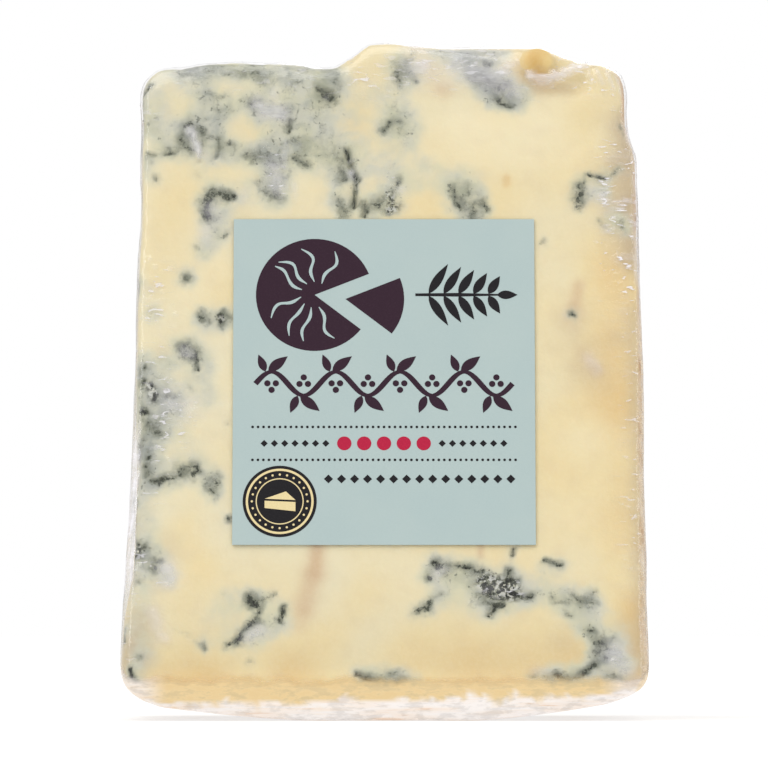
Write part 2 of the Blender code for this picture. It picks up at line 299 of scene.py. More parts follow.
# Cloudy grey-green areas round the veins, same form, half width as the reach of the cloud
FACE_MIST = (
    (0.40, 6.5, -31.0, 92.0, -21.0, 88.5, -12.0, 89.0, -11.0, 83.0, -20.0, 81.5),
    (0.35, 2.0, -13.0, 94.6, -8.0, 95.0),
    (0.60, 1.4, 7.6, 98.8, 18.0, 98.6),
    (0.60, 2.4, -27.0, 96.6, -20.0, 96.2, -13.0, 95.6, -8.6, 94.8),
    (0.45, 1.8, -31.0, 96.2, -27.0, 95.8),
    (0.50, 1.7, -26.6, 92.2, -24.4, 91.2, -23.0, 89.6),
    (0.60, 1.9, -19.2, 90.6, -16.4, 89.6, -14.2, 88.4),
    (0.42, 2.5, -13.4, 93.0, -12.0, 88.4, -11.6, 84.6),
    (0.34, 2.3, -10.2, 90.0, -9.4, 84.6),
    (0.62, 2.1, -29.4, 87.2, -28.0, 84.6),
    (0.60, 1.8, -25.4, 88.4, -25.0, 86.0, -24.2, 83.4),
    (0.30, 1.6, -17.0, 85.6),
    (0.58, 2.0, -21.0, 83.8, -17.5, 83.2, -12.6, 83.2),
    (0.60, 1.6, -16.8, 82.6, -15.8, 79.6, -15.8, 76.8),
    (0.42, 2.2, -34.8, 87.2, -32.4, 84.4),
    (0.45, 1.2, -35.6, 82.4, -35.2, 80.4),
    (0.50, 2.0, -7.6, 84.2, -6.6, 80.4),
    (0.60, 1.5, -7.4, 77.0, -5.6, 75.0),
    (0.26, 3.0, -6.6, 93.4, -4.6, 88.0, -3.2, 82.0),
    (0.28, 2.5, -1.0, 92.5, 1.0, 91.0),
    (0.25, 2.4, -1.5, 82.0),
    (0.32, 2.0, 5.0, 79.0, 6.0, 82.0),
    (0.45, 2.4, 2.4, 96.6, 3.2, 94.8),
    (0.42, 2.4, 1.0, 88.4, 3.4, 87.6),
    (0.40, 2.2, 3.4, 89.4, 3.0, 84.6, 1.6, 81.4),
    (0.55, 2.0, 1.2, 77.4, -1.6, 75.4),
    (0.55, 2.8, 11.6, 77.4, 12.6, 74.8),
    (0.35, 2.4, 9.0, 79.4, 13.0, 79.6),
    (0.88, 2.5, 11.6, 97.4, 14.4, 95.8, 16.0, 93.6),
    (0.70, 2.0, 17.0, 93.0, 20.0, 92.2),
    (0.35, 2.0, 19.5, 91.4),
    (0.45, 1.6, 30.2, 77.9, 32.4, 77.4),
    (0.35, 1.8, 33.6, 74.6, 35.6, 72.4),
    (0.62, 2.0, -25.2, 75.4, -24.4, 73.8),
    (0.45, 1.8, -24.4, 71.2, -26.2, 68.6),
    (0.40, 1.6, -16.6, 77.4),
    (0.30, 1.6, -28.8, 64.8),
    (0.25, 1.8, -34.0, 59.6),
    (0.45, 1.7, -26.6, 58.8, -23.6, 58.8),
    (0.55, 2.1, -28.6, 54.0),
    (0.40, 2.4, -26.6, 52.0, -25.8, 47.0),
    (0.78, 2.8, -35.6, 51.6, -34.4, 46.0, -34.4, 41.0),
    (0.60, 2.1, -34.6, 40.0, -34.4, 36.4),
    (0.48, 2.9, -31.6, 47.6, -31.0, 45.2),
    (0.22, 3.0, -30.6, 41.6, -28.0, 40.0),
    (0.45, 1.3, -34.0, 34.6, -31.0, 34.8, -28.4, 36.0),
    (0.50, 1.6, -25.4, 35.0, -24.8, 33.4),
    (0.45, 2.6, -36.0, 33.0, -34.8, 28.0, -35.8, 22.0),
    (0.40, 1.8, -31.2, 52.4),
    (0.55, 1.8, -35.8, 24.6, -34.2, 23.8),
    (0.45, 1.8, -32.4, 22.4, -31.4, 20.8),
    (0.34, 2.6, -35.6, 18.0, -35.0, 10.0),
    (0.40, 1.6, -36.4, 6.4),
    (0.50, 1.7, -18.0, 17.0, -17.4, 13.6, -18.6, 11.8),
    (0.34, 2.6, -15.6, 13.6),
    (0.30, 2.6, -22.0, 17.4, -24.4, 14.8),
    (0.45, 2.2, 7.0, 21.6, 12.0, 20.8),
    (0.40, 2.6, 10.0, 18.4, 13.6, 17.0),
    (0.55, 2.6, 14.8, 19.6, 20.6, 18.8),
    (0.30, 2.6, 24.0, 20.4, 28.0, 15.6),
    (0.45, 1.6, 27.0, 17.6, 30.4, 17.6),
    (0.42, 1.6, 30.0, 12.6, 32.4, 11.8),
    (0.78, 2.4, 33.0, 10.4, 34.6, 8.0),
    (0.60, 2.1, 31.0, 8.6, 29.0, 6.6, 25.0, 6.2),
    (0.28, 3.0, 30.6, 14.6, 33.6, 13.6),
    (0.30, 1.8, 22.6, 6.0),
    (0.50, 1.8, -2.6, 6.4, 0.6, 5.8, 4.0, 5.8),
)

# Islands of clean paste in the mist
FACE_CLEAR = (
    (0.38, 2.1, -31.4, 94.0, -29.8, 91.0),
    (0.42, 1.3, -25.2, 93.6, -20.0, 93.2),
    (0.50, 2.0, -21.4, 87.8, -20.2, 86.0),
    (0.50, 1.9, -23.6, 81.0, -19.6, 80.8),
    (0.75, 3.0, -31.4, 80.2, -30.0, 76.4),
    (0.60, 1.8, -11.6, 79.2, -9.2, 78.0),
    (0.25, 1.3, -9.6, 81.4),
)

# Deeper yellow paste
FACE_WARMTH = (
    (1.0, 4.5, -30.5, 4.4, -27.0, 4.6),
    (0.6, 3.6, -13.6, 7.0),
    (0.45, 5.0, 7.0, 9.0, 26.0, 9.0),
    (0.8, 5.0, 34.0, 46.0, 34.5, 66.0),
    (1.0, 0.6, 18.1, 79.8, 18.1, 78.9),
    (1.0, 0.5, 18.1, 79.6),
    (0.6, 3.5, -4.5, 88.0),
    (0.35, 3.5, -23.0, 65.5, -23.5, 61.0),
    (0.25, 4.0, -32.0, 75.5, -33.0, 66.0),
    (0.4, 2.0, -18.5, 87.0),
    (0.9, 3.2, 36.6, 16.0, 36.4, 7.0),
    (0.5, 3.0, -29.0, 28.0, -27.0, 23.0),
    (0.35, 5.0, 25.0, 38.0, 30.0, 30.0),
    (0.5, 3.5, 34.5, 26.0, 35.0, 34.0),
    (0.35, 3.5, -12.0, 8.5, -8.0, 12.0),
    (0.30, 4.0, -4.0, 18.0),
    (0.5, 2.4, 35.4, 14.0),
)

# Fresher, lighter paste
FACE_PALE = (
    (0.85, 4.6, 13.0, 86.0, 20.0, 85.0, 23.0, 88.0),
    (0.40, 3.5, 27.0, 83.5),
    (0.35, 3.5, 30.0, 41.0),
    (0.35, 3.0, -29.0, 62.0, -25.0, 66.0),
    (0.30, 3.0, 29.0, 30.0),
)

# Duller, browner paste towards the end with the thin rind; the two marks under the wax lump are painted
# shade, in its crease and in the hollow below it
FACE_DULL_AND_SHADE = (
    (0.93, 2.8, 35.8, 88.0, 36.4, 78.0, 36.8, 68.0),
    (0.60, 3.2, 34.5, 80.0, 34.9, 73.0),
    (0.30, 3.0, 30.0, 50.5),
    (0.25, 2.5, 34.0, 56.0),
    (0.25, 2.5, 26.5, 12.0),
    (0.75, 2.4, -35.6, 15.0, -36.2, 9.0),
    # painted shade in the crease below the wax lump
    (0.90, 0.5, 21.0, 95.4, 22.6, 94.9, 24.4, 95.1, 25.6, 96.0),
    (0.45, 2.0, 35.0, 96.0, 36.0, 90.0),
    # painted shade in the hollow below the wax lump
    (0.60, 1.7, 20.6, 95.2, 23.6, 93.8, 27.0, 93.6),
    (0.55, 1.6, -1.4, 5.8, 2.4, 5.8),
    (0.35, 1.4, 29.6, 76.6, 28.8, 78.4),
    (0.50, 1.6, 36.8, 60.0, 37.2, 30.0, 37.6, 8.0),
    (0.35, 1.6, 35.6, 12.0, 35.8, 6.0),
    (0.30, 3.0, 27.5, 58.0, 29.5, 52.0),
    (0.25, 2.0, -33.0, 20.0, -31.0, 26.0),
    (0.75, 2.8, 33.0, 6.6),
    (0.75, 2.2, -36.4, 12.0, -36.6, 7.0),
    (0.35, 2.0, -36.6, 34.0, -36.4, 24.0),
)

# Brownish pink smears in the paste
FACE_STAINS = (
    (0.9, 1.1, -9.7, 25.3, -10.0, 21.6),
    (0.7, 1.4, -10.4, 21.0, -11.6, 16.4),
    (0.4, 1.2, -11.8, 15.8, -12.2, 14.0),
    (0.7, 0.4, 14.1, 25.6, 14.0, 24.0),
    (0.7, 0.9, 28.6, 63.6, 28.0, 60.6),
    (0.4, 1.6, 27.8, 59.2),
    (0.3, 0.9, 29.0, 53.5, 31.0, 51.0),
    (0.5, 1.3, 8.6, 93.1),
    (0.3, 1.2, -32.6, 53.4),
    (0.3, 1.0, -32.0, 43.0),
    (0.5, 1.0, 21.8, 6.7),
)

# Waxy orange-yellow lump and the hollow beside it, under the film at the nose
WAX_LUMP = (22.8, 97.2)
WAX_REACH_MM = 2.9
HOLLOW = (23.0, 94.6, 28.6, 94.4)
HOLLOW_REACH_MM = 1.5
HOLLOW_DEPTH_MM = 1.5

# Crumbly spots where bits of curd lie loose under the film
FACE_CRUMBLE = (
    (0.9, 2.2, 15.0, 20.0, 18.6, 19.0),
    (0.8, 1.2, -34.6, 48.8, -33.6, 47.2),
    (0.7, 1.4, 1.0, 77.4, 1.2, 75.2),
    (0.6, 1.4, -33.8, 37.8),
    (0.7, 1.2, -35.6, 24.8),
    (0.7, 0.9, -23.8, 58.7),
)

# Cracks: depth, half width, points (x, z)
FACE_CRACKS = (
    (1.2, 0.35, -5.6, 83.9, -5.0, 81.8, -4.1, 79.5, -4.1, 77.3, -4.3, 75.5),
    (0.9, 0.35, -2.8, 76.0, -2.9, 74.1),
    (0.7, 0.30, -24.4, 84.0, -24.7, 82.8),
    (0.6, 0.30, -27.1, 83.2, -27.1, 82.2),
    (0.9, 0.40, -9.6, 93.1, -7.8, 92.5),
    (0.8, 0.35, -14.0, 88.2, -14.2, 86.8),
    (0.8, 0.30, -14.4, 16.2, -14.7, 15.2, -15.0, 14.4),
    (0.9, 0.30, -3.8, 6.8, -2.0, 6.0),
    (0.6, 0.30, 18.2, 22.1, 17.9, 20.4),
    (0.8, 0.25, 16.2, 16.6, 15.6, 15.8, 15.3, 15.2),
    (0.7, 0.25, 18.9, 25.2, 18.7, 24.2),
    (0.5, 0.35, 29.0, 78.0, 28.4, 76.2),
)

# The left end stands back from the film between these heights
RECESS_LOW_MM = 17.0
RECESS_HIGH_MM = 50.0
RECESS_DEPTH_MM = 0.9

# Both faces lean back from the foot towards an apex line at this height
APEX_MM = 103.64
FACE_LEAN = 0.268


# ---------------------------------------------------------------- small tools


def linear(red, green, blue):
    """A display colour, 0 to 255, as linear light."""
    out = []
    for value in (red, green, blue):
        share = value / 255.0
        if share <= 0.04045:
            out.append(share / 12.92)
        else:
            out.append(((share + 0.055) / 1.055) ** 2.4)
    return tuple(out)


def ramp(low, high, value):
    """0 below low, 1 above high, smooth between; works on arrays."""
    share = np.clip((value - low) / (high - low), 0.0, 1.0)
    return share * share * (3.0 - 2.0 * share)


def grain(points_mm, size_mm, seed=0.0):
    """Smooth noise, about -1 to 1, at points in mm."""
    shift = Vector((seed, 1.7 * seed, 2.3 * seed))
    scale = 1.0 / size_mm
    return np.array([noise.noise(Vector(p) * scale + shift) for p in points_mm])


def stretched_grain(points_mm, sizes_mm, seed=0.0):
    """Smooth noise with its own size along each axis."""
    scaled = points_mm / np.array(sizes_mm)
    return np.array([noise.noise(Vector(p) + Vector((seed, seed, seed))) for p in scaled])


def swirl(points_mm, size_mm, reach_mm, seed=0.0):
    """Points pushed about by smooth noise."""
    shift = Vector((seed, -seed, 3.1 * seed))
    scale = 1.0 / size_mm
    moved = [noise.noise_vector(Vector(p) * scale + shift) for p in points_mm]
    return points_mm + reach_mm * np.array(moved)


def distance_to_run(points, start, end):
    """Distance from every point to the straight run from start to end."""
    run = end - start
    length = float(run @ run)
    if length < 1e-12:
        return np.linalg.norm(points - start, axis=1)
    share = np.clip(((points - start) @ run) / length, 0.0, 1.0)
    return np.linalg.norm(points - start - share[:, None] * run, axis=1)


def distance_to_path(points, path):
    if len(path) == 1:
        return np.linalg.norm(points - path[0], axis=1)
    reach = np.full(len(points), 1e9)
    for start, end in zip(path[:-1], path[1:]):
        reach = np.minimum(reach, distance_to_run(points, start, end))
    return reach


def mesh_arrays(mesh):
    """Vertex places and normals as arrays, places in mm."""
    count = len(mesh.vertices)
    places = np.zeros(count * 3)
    normals = np.zeros(count * 3)
    mesh.vertices.foreach_get("co", places)
    mesh.vertices.foreach_get("normal", normals)
    return places.reshape(-1, 3) / MM, normals.reshape(-1, 3)


def set_places(mesh, places_mm):
    mesh.vertices.foreach_set("co", (places_mm * MM).ravel())
    mesh.update()


def add_colour(mesh, name, channels):
    """Store up to four fields as one colour attribute."""
    values = np.ones((len(mesh.vertices), 4))
    for index, channel in enumerate(channels):
        values[:, index] = channel
    attribute = mesh.color_attributes.new(name, "FLOAT_COLOR", "POINT")
    attribute.data.foreach_set("color", values.ravel())


def add_number(mesh, name, values):
    attribute = mesh.attributes.new(name, "FLOAT", "POINT")
    attribute.data.foreach_set("value", np.asarray(values, dtype=np.float32))


def link_object(name, mesh):
    item = bpy.data.objects.new(name, mesh)
    bpy.context.scene.collection.objects.link(item)
    return item


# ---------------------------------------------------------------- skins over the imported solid


def merged_solid(node):
    """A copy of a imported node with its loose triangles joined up."""
    bm = bmesh.new()
    bm.from_mesh(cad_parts[node].data)
    bmesh.ops.remove_doubles(bm, verts=bm.verts, dist=0.01 * MM)
    mesh = bpy.data.meshes.new(node + "_merged")
    bm.to_mesh(mesh)
    bm.free()
    mesh.materials.clear()
    return mesh


def even_skin(source, voxel, name):
    """The solid's surface as a fine even mesh, lightly smoothed."""
    item = link_object(name, source.copy())
    remesh = item.modifiers.new("even", "REMESH")
    remesh.mode = "VOXEL"
    remesh.voxel_size = voxel
    remesh.use_smooth_shade = True
    bpy.context.view_layer.update()
    graph = bpy.context.evaluated_depsgraph_get()
    mesh = bpy.data.meshes.new_from_object(item.evaluated_get(graph))
    bpy.data.objects.remove(item)
    bm = bmesh.new()
    bm.from_mesh(mesh)
    for _ in range(SMOOTHING_ROUNDS):
        bmesh.ops.smooth_vert(
            bm,
            verts=bm.verts,
            factor=0.5,
            use_axis_x=True,
            use_axis_y=True,
            use_axis_z=True,
        )
    return bm


def refine(bm, wanted):
    """Halve the mesh where wanted(vertex) holds at both ends of an edge."""
    bm.normal_update()
    chosen = {vert for vert in bm.verts if wanted(vert)}
    edges = [edge for edge in bm.edges if edge.verts[0] in chosen and edge.verts[1] in chosen]
    bmesh.ops.subdivide_edges(bm, edges=edges, cuts=1, use_grid_fill=True)


def finished_mesh(bm, name):
    bmesh.ops.triangulate(bm, faces=bm.faces)
    bmesh.ops.recalc_face_normals(bm, faces=bm.faces)
    mesh = bpy.data.meshes.new(name)
    bm.to_mesh(mesh)
    bm.free()
    mesh.shade_smooth()
    return mesh


# ---------------------------------------------------------------- veins


class Surface:
    """Finds points on the wedge from outside it."""

    def __init__(self, mesh):
        self.tree = BVHTree.FromPolygons(
            [vert.co for vert in mesh.vertices],
            [face.vertices for face in mesh.polygons],
        )

    def land(self, start_mm, direction):
        hit = self.tree.ray_cast(Vector(start_mm) * MM, Vector(direction))[0]
        if hit is None:
            middle = [a * (1.0 - abs(b)) for a, b in zip(start_mm, direction)]
            hit = self.tree.find_nearest(Vector(middle) * MM)[0]
        return np.array(hit) / MM

    def front(self, x, z):
        return self.land((x, -60.0, z), (0.0, 1.0, 0.0))

    def back(self, x, z):
        return self.land((x, 60.0, z), (0.0, -1.0, 0.0))

    def held(self, y, z):
        """A place across an end, kept between the two faces."""
        reach = max(0.0, FACE_LEAN * (APEX_MM - z) - 1.5)
        return max(-reach, min(reach, y))

    def left(self, y, z):
        return self.land((-80.0, self.held(y, z), z), (1.0, 0.0, 0.0))

    def right(self, y, z):
        return self.land((80.0, self.held(y, z), z), (-1.0, 0.0, 0.0))


def landed(marks, place):
    """Marks given as (strength, half width, a, b, a, b ...) with their points put on a side."""
    found = []
    for strength, width, *numbers in marks:
        pairs = zip(numbers[0::2], numbers[1::2])
        found.append((strength, width, [place(a, b) for a, b in pairs]))
    return found


def wandering_veins(rng, count, a_range, b_range):
    """Veins for a side that has none of its own: short wandering runs with specks beside them."""
    marks = []
    for _ in range(count):
        a = rng.uniform(*a_range)
        b = rng.uniform(*b_range)
        turn = rng.uniform(0.0, 2.0 * math.pi)
        numbers = []
        for _ in range(rng.randint(1, 5)):
            numbers += [a, b]
            turn += rng.uniform(-1.1, 1.1)
            a += 1.9 * math.cos(turn)
            b += 1.9 * math.sin(turn)
        marks.append((rng.uniform(0.5, 1.1), rng.uniform(0.35, 1.0), *numbers))
        for _ in range(rng.randint(0, 4)):
            speck = (a + rng.gauss(0.0, 2.4), b + rng.gauss(0.0, 2.4))
            marks.append((rng.uniform(0.4, 1.0), rng.uniform(0.3, 0.6), *speck))
    return marks


def spread_of(points, marks, softness):
    """Marks as soft-edged streaks and dots; close ones strengthen each other."""
    field = np.zeros(len(points))
    for strength, width, path in marks:
        away = distance_to_path(points, path)
        shown = strength * np.exp(-((away / (0.94 * width + softness)) ** 2.4))
        field += shown**3
    return np.cbrt(field)


def cloud_of(points, marks, extra):
    """Soft clouds that add up towards 1."""
    clear = np.ones(len(points))
    for strength, width, path in marks:
        away = distance_to_path(points, path)
        clear *= 1.0 - np.clip(strength, 0.0, 0.95) * np.exp(-((away / (width + extra)) ** 2))
    return 1.0 - clear


# ---------------------------------------------------------------- material tools


class Shader:
    """A material's node tree with short ways to add what these finishes need."""

    def __init__(self, name):
        self.material = bpy.data.materials.new(name)
        self.material.use_nodes = True
        self.tree = self.material.node_tree
        self.tree.nodes.clear()
        self.output = self.add("ShaderNodeOutputMaterial")
        self.place = self.add("ShaderNodeTexCoord").outputs["Object"]

    def add(self, kind, **settings):
        node = self.tree.nodes.new(kind)
        for key, value in settings.items():
            setattr(node, key, value)
        return node

    def feed(self, socket, value):
        """Link a socket, or set its value."""
        if isinstance(value, bpy.types.NodeSocket):
            self.tree.links.new(value, socket)
        elif isinstance(value, tuple) and len(value) == 3 and socket.type == "RGBA":
            socket.default_value = (*value, 1.0)
        else:
            socket.default_value = value

    def noise(self, size_mm, detail=2.0, roughness=0.5, distortion=0.0, place=None):
        node = self.add("ShaderNodeTexNoise")
        self.feed(node.inputs["Vector"], place or self.place)
        self.feed(node.inputs["Scale"], 1.0 / (size_mm * MM))
        self.feed(node.inputs["Detail"], detail)
        self.feed(node.inputs["Roughness"], roughness)
        self.feed(node.inputs["Distortion"], distortion)
        return node.outputs["Fac"]

    def stretched(self, factors):
        node = self.add("ShaderNodeMapping")
        self.feed(node.inputs["Vector"], self.place)
        self.feed(node.inputs["Scale"], factors)
        return node.outputs["Vector"]

    def math(self, operation, first, second=0.0):
        node = self.add("ShaderNodeMath", operation=operation)
        self.feed(node.inputs[0], first)
        self.feed(node.inputs[1], second)
        return node.outputs[0]

    def nudged(self, field, texture, reach):
        """The field pushed up and down by a texture round its middle."""
        swing = self.math("MULTIPLY", self.math("SUBTRACT", texture, 0.5), reach)
        return self.math("ADD", field, swing)

    def between(self, low, high, value, least=0.0, most=1.0):
        node = self.add("ShaderNodeMapRange", interpolation_type="SMOOTHSTEP")
        self.feed(node.inputs["Value"], value)
        self.feed(node.inputs["From Min"], low)
        self.feed(node.inputs["From Max"], high)
        self.feed(node.inputs["To Min"], least)
        self.feed(node.inputs["To Max"], most)
        return node.outputs["Result"]

    def blend(self, share, first, second, how="MIX"):
        node = self.add("ShaderNodeMix", data_type="RGBA", blend_type=how)
        self.feed(node.inputs[0], share)
        self.feed(node.inputs[6], first)
        self.feed(node.inputs[7], second)
        return node.outputs[2]

    def colour(self, name):
        return self.add("ShaderNodeAttribute", attribute_name=name).outputs["Color"]

    def channels(self, name):
        node = self.add("ShaderNodeSeparateColor")
        self.feed(node.inputs[0], self.colour(name))
        return node.outputs

    def bump(self, height, strength, depth_mm, under=None):
        node = self.add("ShaderNodeBump")
        self.feed(node.inputs["Height"], height)
        self.feed(node.inputs["Strength"], strength)
        self.feed(node.inputs["Distance"], depth_mm * MM)
        if under is not None:
            self.feed(node.inputs["Normal"], under)
        return node.outputs["Normal"]

    def principled(self, **values):
        node = self.add("ShaderNodeBsdfPrincipled")
        for key, value in values.items():
            self.feed(node.inputs[key.replace("_", " ")], value)
        return node

    def finish(self, shader):
        self.tree.links.new(shader, self.output.inputs["Surface"])
        return self.material


# ---------------------------------------------------------------- finishes


def veined_paste():
    """Creamy paste, misted grey-green round the veins, dark crumbly mould inside them."""
    s = Shader("veined_paste")
    base = s.add("ShaderNodeAttribute", attribute_name="paste")
    paste, smoke = base.outputs["Color"], base.outputs["Alpha"]
    marks = s.add("ShaderNodeAttribute", attribute_name="veins")
    split = s.add("ShaderNodeSeparateColor")
    s.feed(split.inputs[0], marks.outputs["Color"])
    core, mist = split.outputs[0], split.outputs[1]
    loose = marks.outputs["Alpha"]
    cloudy = s.noise(4.5, 2.0, 0.5)
    drifting = s.between(0.34, 0.66, s.noise(2.8, 3.0, 0.55, 0.2))
    patchy = s.between(0.34, 0.66, s.noise(1.5, 3.0, 0.6, 0.2))
    speckle = s.between(0.37, 0.63, s.noise(0.58, 4.0, 0.66, 0.3))
    dust = s.between(0.40, 0.62, s.noise(0.36, 2.0, 0.5))

    curd = s.blend(s.between(0.35, 0.75, s.noise(0.6, 3.0, 0.6), 0.0, 0.08), paste, linear(247, 238, 212))

    # mist: a soft grey-green veil, then a denser one
    veil = s.math("MULTIPLY", mist, s.math("ADD", s.math("MULTIPLY", drifting, 0.42), 0.78))
    tint = s.blend(s.between(0.3, 0.7, cloudy), linear(205, 203, 176), linear(199, 199, 184))
    veiled = s.blend(s.between(0.06, 0.60, veil, 0.0, 0.92), curd, tint)
    denser = s.blend(s.between(0.3, 0.7, cloudy), linear(158, 161, 141), linear(154, 158, 152))
    dense = s.blend(s.between(0.44, 1.08, veil, 0.0, 0.88), veiled, denser)

    # soft, broken fissures where the mist is strong
    waver = s.noise(4.6, 4.0, 0.58, 0.2)
    line = s.between(0.0, 0.04, s.math("ABSOLUTE", s.math("SUBTRACT", waver, 0.5)), 1.0, 0.0)
    line = s.math("MULTIPLY", line, s.between(0.35, 0.8, mist))
    line = s.math("MULTIPLY", line, s.math("MULTIPLY", s.math("ADD", speckle, 0.15), patchy))
    dots = s.math("MULTIPLY", s.between(0.66, 0.74, s.noise(1.0, 2.0, 0.6)), s.between(0.3, 0.6, mist))
    line = s.math("MAXIMUM", line, dots)
    fissured = s.blend(s.math("MULTIPLY", line, 0.75), dense, linear(98, 101, 90))
    specks = s.between(0.61, 0.68, s.noise(0.85, 3.0, 0.62, 0.4))
    specks = s.math("MULTIPLY", specks, s.math("MULTIPLY", s.between(0.36, 0.72, mist), drifting))
    fissured = s.blend(s.math("MULTIPLY", specks, 0.8), fissured, linear(80, 84, 72))

    # smoky grey that gathers towards every vein
    smoky = s.math("MULTIPLY", smoke, s.math("ADD", s.math("MULTIPLY", patchy, 0.5), 0.62))
    grey = s.blend(s.between(0.3, 0.7, cloudy), linear(130, 132, 114), linear(126, 130, 120))
    smoked = s.blend(s.between(0.10, 1.02, smoky, 0.0, 0.86), fissured, grey)

    # cores: grey bodies with dark specks
    body = s.math("MULTIPLY", core, s.math("ADD", s.math("MULTIPLY", patchy, 0.45), 0.78))
    greyed = s.blend(s.between(0.20, 0.90, body, 0.0, 0.78), smoked, linear(122, 125, 108))
    swing = s.math("MULTIPLY", s.math("SUBTRACT", speckle, 0.5), s.between(0.08, 0.38, core, 0.0, 0.62))
    depth = s.math("ADD", core, swing)
    darkened = s.blend(s.between(0.58, 1.04, depth, 0.0, 0.96), greyed, linear(64, 68, 53))
    deepest = s.math("MULTIPLY", core, s.math("ADD", s.math("MULTIPLY", dust, 0.7), 0.60))
    veined = s.blend(s.between(0.98, 1.30, deepest, 0.0, 0.96), darkened, linear(26, 28, 20))

    # loose crumbly spots: pale bits between nearly black ones; the pale bits are partly curd and partly
    # painted glints
    sharp = s.noise(0.95, 2.0, 0.55, 0.6)
    pits = s.math("MULTIPLY", s.between(0.51, 0.57, sharp), loose)
    bits = s.math("MULTIPLY", s.between(0.48, 0.42, sharp), loose)
    pitted = s.blend(s.math("MULTIPLY", pits, 0.92), veined, linear(30, 32, 27))
    colour = s.blend(s.math("MULTIPLY", bits, 0.75), pitted, linear(222, 221, 213))

    height = s.math("MULTIPLY", speckle, s.math("ADD", core, 0.12))
    normal = s.bump(height, 0.6, 0.14)
    normal = s.bump(s.math("MULTIPLY", sharp, loose), 0.8, 0.5, normal)
    normal = s.bump(s.noise(1.4, 3.0, 0.5), 0.25, 0.10, normal)
    skin = s.principled(
        Base_Color=colour,
        Roughness=s.between(0.2, 0.9, core, 0.5, 0.75),
        Normal=normal,
        IOR=1.42,
        Subsurface_Weight=0.2,
        Subsurface_Radius=(1.0, 0.8, 0.55),
        Subsurface_Scale=0.6 * MM,
    )
    return s.finish(skin.outputs["BSDF"])


def stretched_film():
    """Clear film: mirror-like where it turns away, milky where it gathers; its milky white also paints
    glints on the crinkles, highlights on folds and glare on the foot.
    """
    s = Shader("stretched_film")
    marks = s.add("ShaderNodeAttribute", attribute_name="film")
    split = s.add("ShaderNodeSeparateColor")
    s.feed(split.inputs[0], marks.outputs["Color"])
    milk_and_glare, crinkled, foot = split.outputs[:3]
    tan = marks.outputs["Alpha"]
    fine = s.noise(0.8, 3.0, 0.6, 0.0, s.stretched((0.35, 0.35, 1.0)))
    drawn = s.noise(0.55, 3.0, 0.55, 0.0, s.stretched((0.07, 0.07, 1.0)))
    normal = s.bump(s.math("MULTIPLY", fine, s.math("ADD", crinkled, 0.06)), 0.9, 0.30)
    normal = s.bump(s.noise(5.0, 2.0, 0.5), 0.3, 0.12, normal)
    facing = s.add("ShaderNodeLayerWeight")
    s.feed(facing.inputs["Blend"], 0.5)
    s.feed(facing.inputs["Normal"], normal)
    glancing = s.math("MULTIPLY", s.math("POWER", facing.outputs["Facing"], 4.0), 0.6)
    mirror = s.math("ADD", glancing, 0.035)
    uneven = s.math("ADD", s.math("MULTIPLY", s.between(0.35, 0.65, fine), 0.3), 0.85)
    # painted glints: short white dashes where the film is crinkled
    painted_glints = s.between(0.63, 0.72, s.noise(1.1, 1.0, 0.4, 0.8, s.stretched((0.6, 0.6, 1.8))))
    painted_glints = s.math("MULTIPLY", painted_glints, s.between(0.02, 0.6, crinkled, 0.0, 0.75))
    # milky white: gathered film, with painted glints, painted highlights on folds and painted glare on
    # the foot
    milky = s.math("MINIMUM", s.math("ADD", s.math("MULTIPLY", milk_and_glare, uneven), painted_glints), 0.95)
    whole = s.math("MINIMUM", s.math("ADD", mirror, milky), 1.0)
    share = s.math("DIVIDE", milky, s.math("MAXIMUM", whole, 0.001))
    gloss = s.add("ShaderNodeBsdfGlossy")
    s.feed(gloss.inputs["Color"], (0.97, 0.97, 0.98))
    s.feed(gloss.inputs["Roughness"], 0.10)
    s.feed(gloss.inputs["Normal"], normal)
    # pinkish white of the milky foot: gathered film tinted by the rind behind it, the white partly
    # painted glare
    pinkish = s.blend(s.between(0.40, 0.62, drawn), (0.93, 0.88, 0.85), (0.92, 0.82, 0.74))
    fleck = s.math("MULTIPLY", s.between(0.62, 0.72, drawn), 0.45)
    flecked = s.blend(fleck, pinkish, linear(222, 172, 124))
    gathered = s.blend(foot, (0.90, 0.88, 0.92), flecked)
    # ochre on the milky foot: the colour of curd and rind behind it, also laid over the shade just above
    # the foot as painted light
    ochre = s.blend(s.between(0.35, 0.65, fine), linear(237, 212, 162), linear(231, 203, 151))
    white = s.add("ShaderNodeBsdfDiffuse")
    s.feed(white.inputs["Color"], s.blend(tan, gathered, ochre))
    s.feed(white.inputs["Normal"], normal)
    clear = s.add("ShaderNodeBsdfTransparent")
    solid = s.add("ShaderNodeMixShader")
    s.feed(solid.inputs[0], share)
    s.feed(solid.inputs[1], gloss.outputs[0])
    s.feed(solid.inputs[2], white.outputs[0])
    film = s.add("ShaderNodeMixShader")
    s.feed(film.inputs[0], whole)
    s.feed(film.inputs[1], clear.outputs[0])
    s.feed(film.inputs[2], solid.outputs[0])
    return s.finish(film.outputs[0])


def label_stock():
    """Matt grey-green paper with a faint fibre."""
    s = Shader("label_stock")
    fibre = s.noise(0.22, 3.0, 0.6)
    tint = s.blend(s.between(0.3, 0.7, s.noise(9.0)), linear(170, 188, 187), linear(173, 190, 188))
    colour = s.blend(s.between(0.3, 0.8, fibre, 0.0, 0.12), tint, linear(196, 208, 206))
    sheet = s.principled(
        Base_Color=colour,
        Roughness=s.between(0.2, 0.8, fibre, 0.46, 0.56),
        Normal=s.bump(fibre, 0.15, 0.02),
    )
    return s.finish(sheet.outputs["BSDF"])


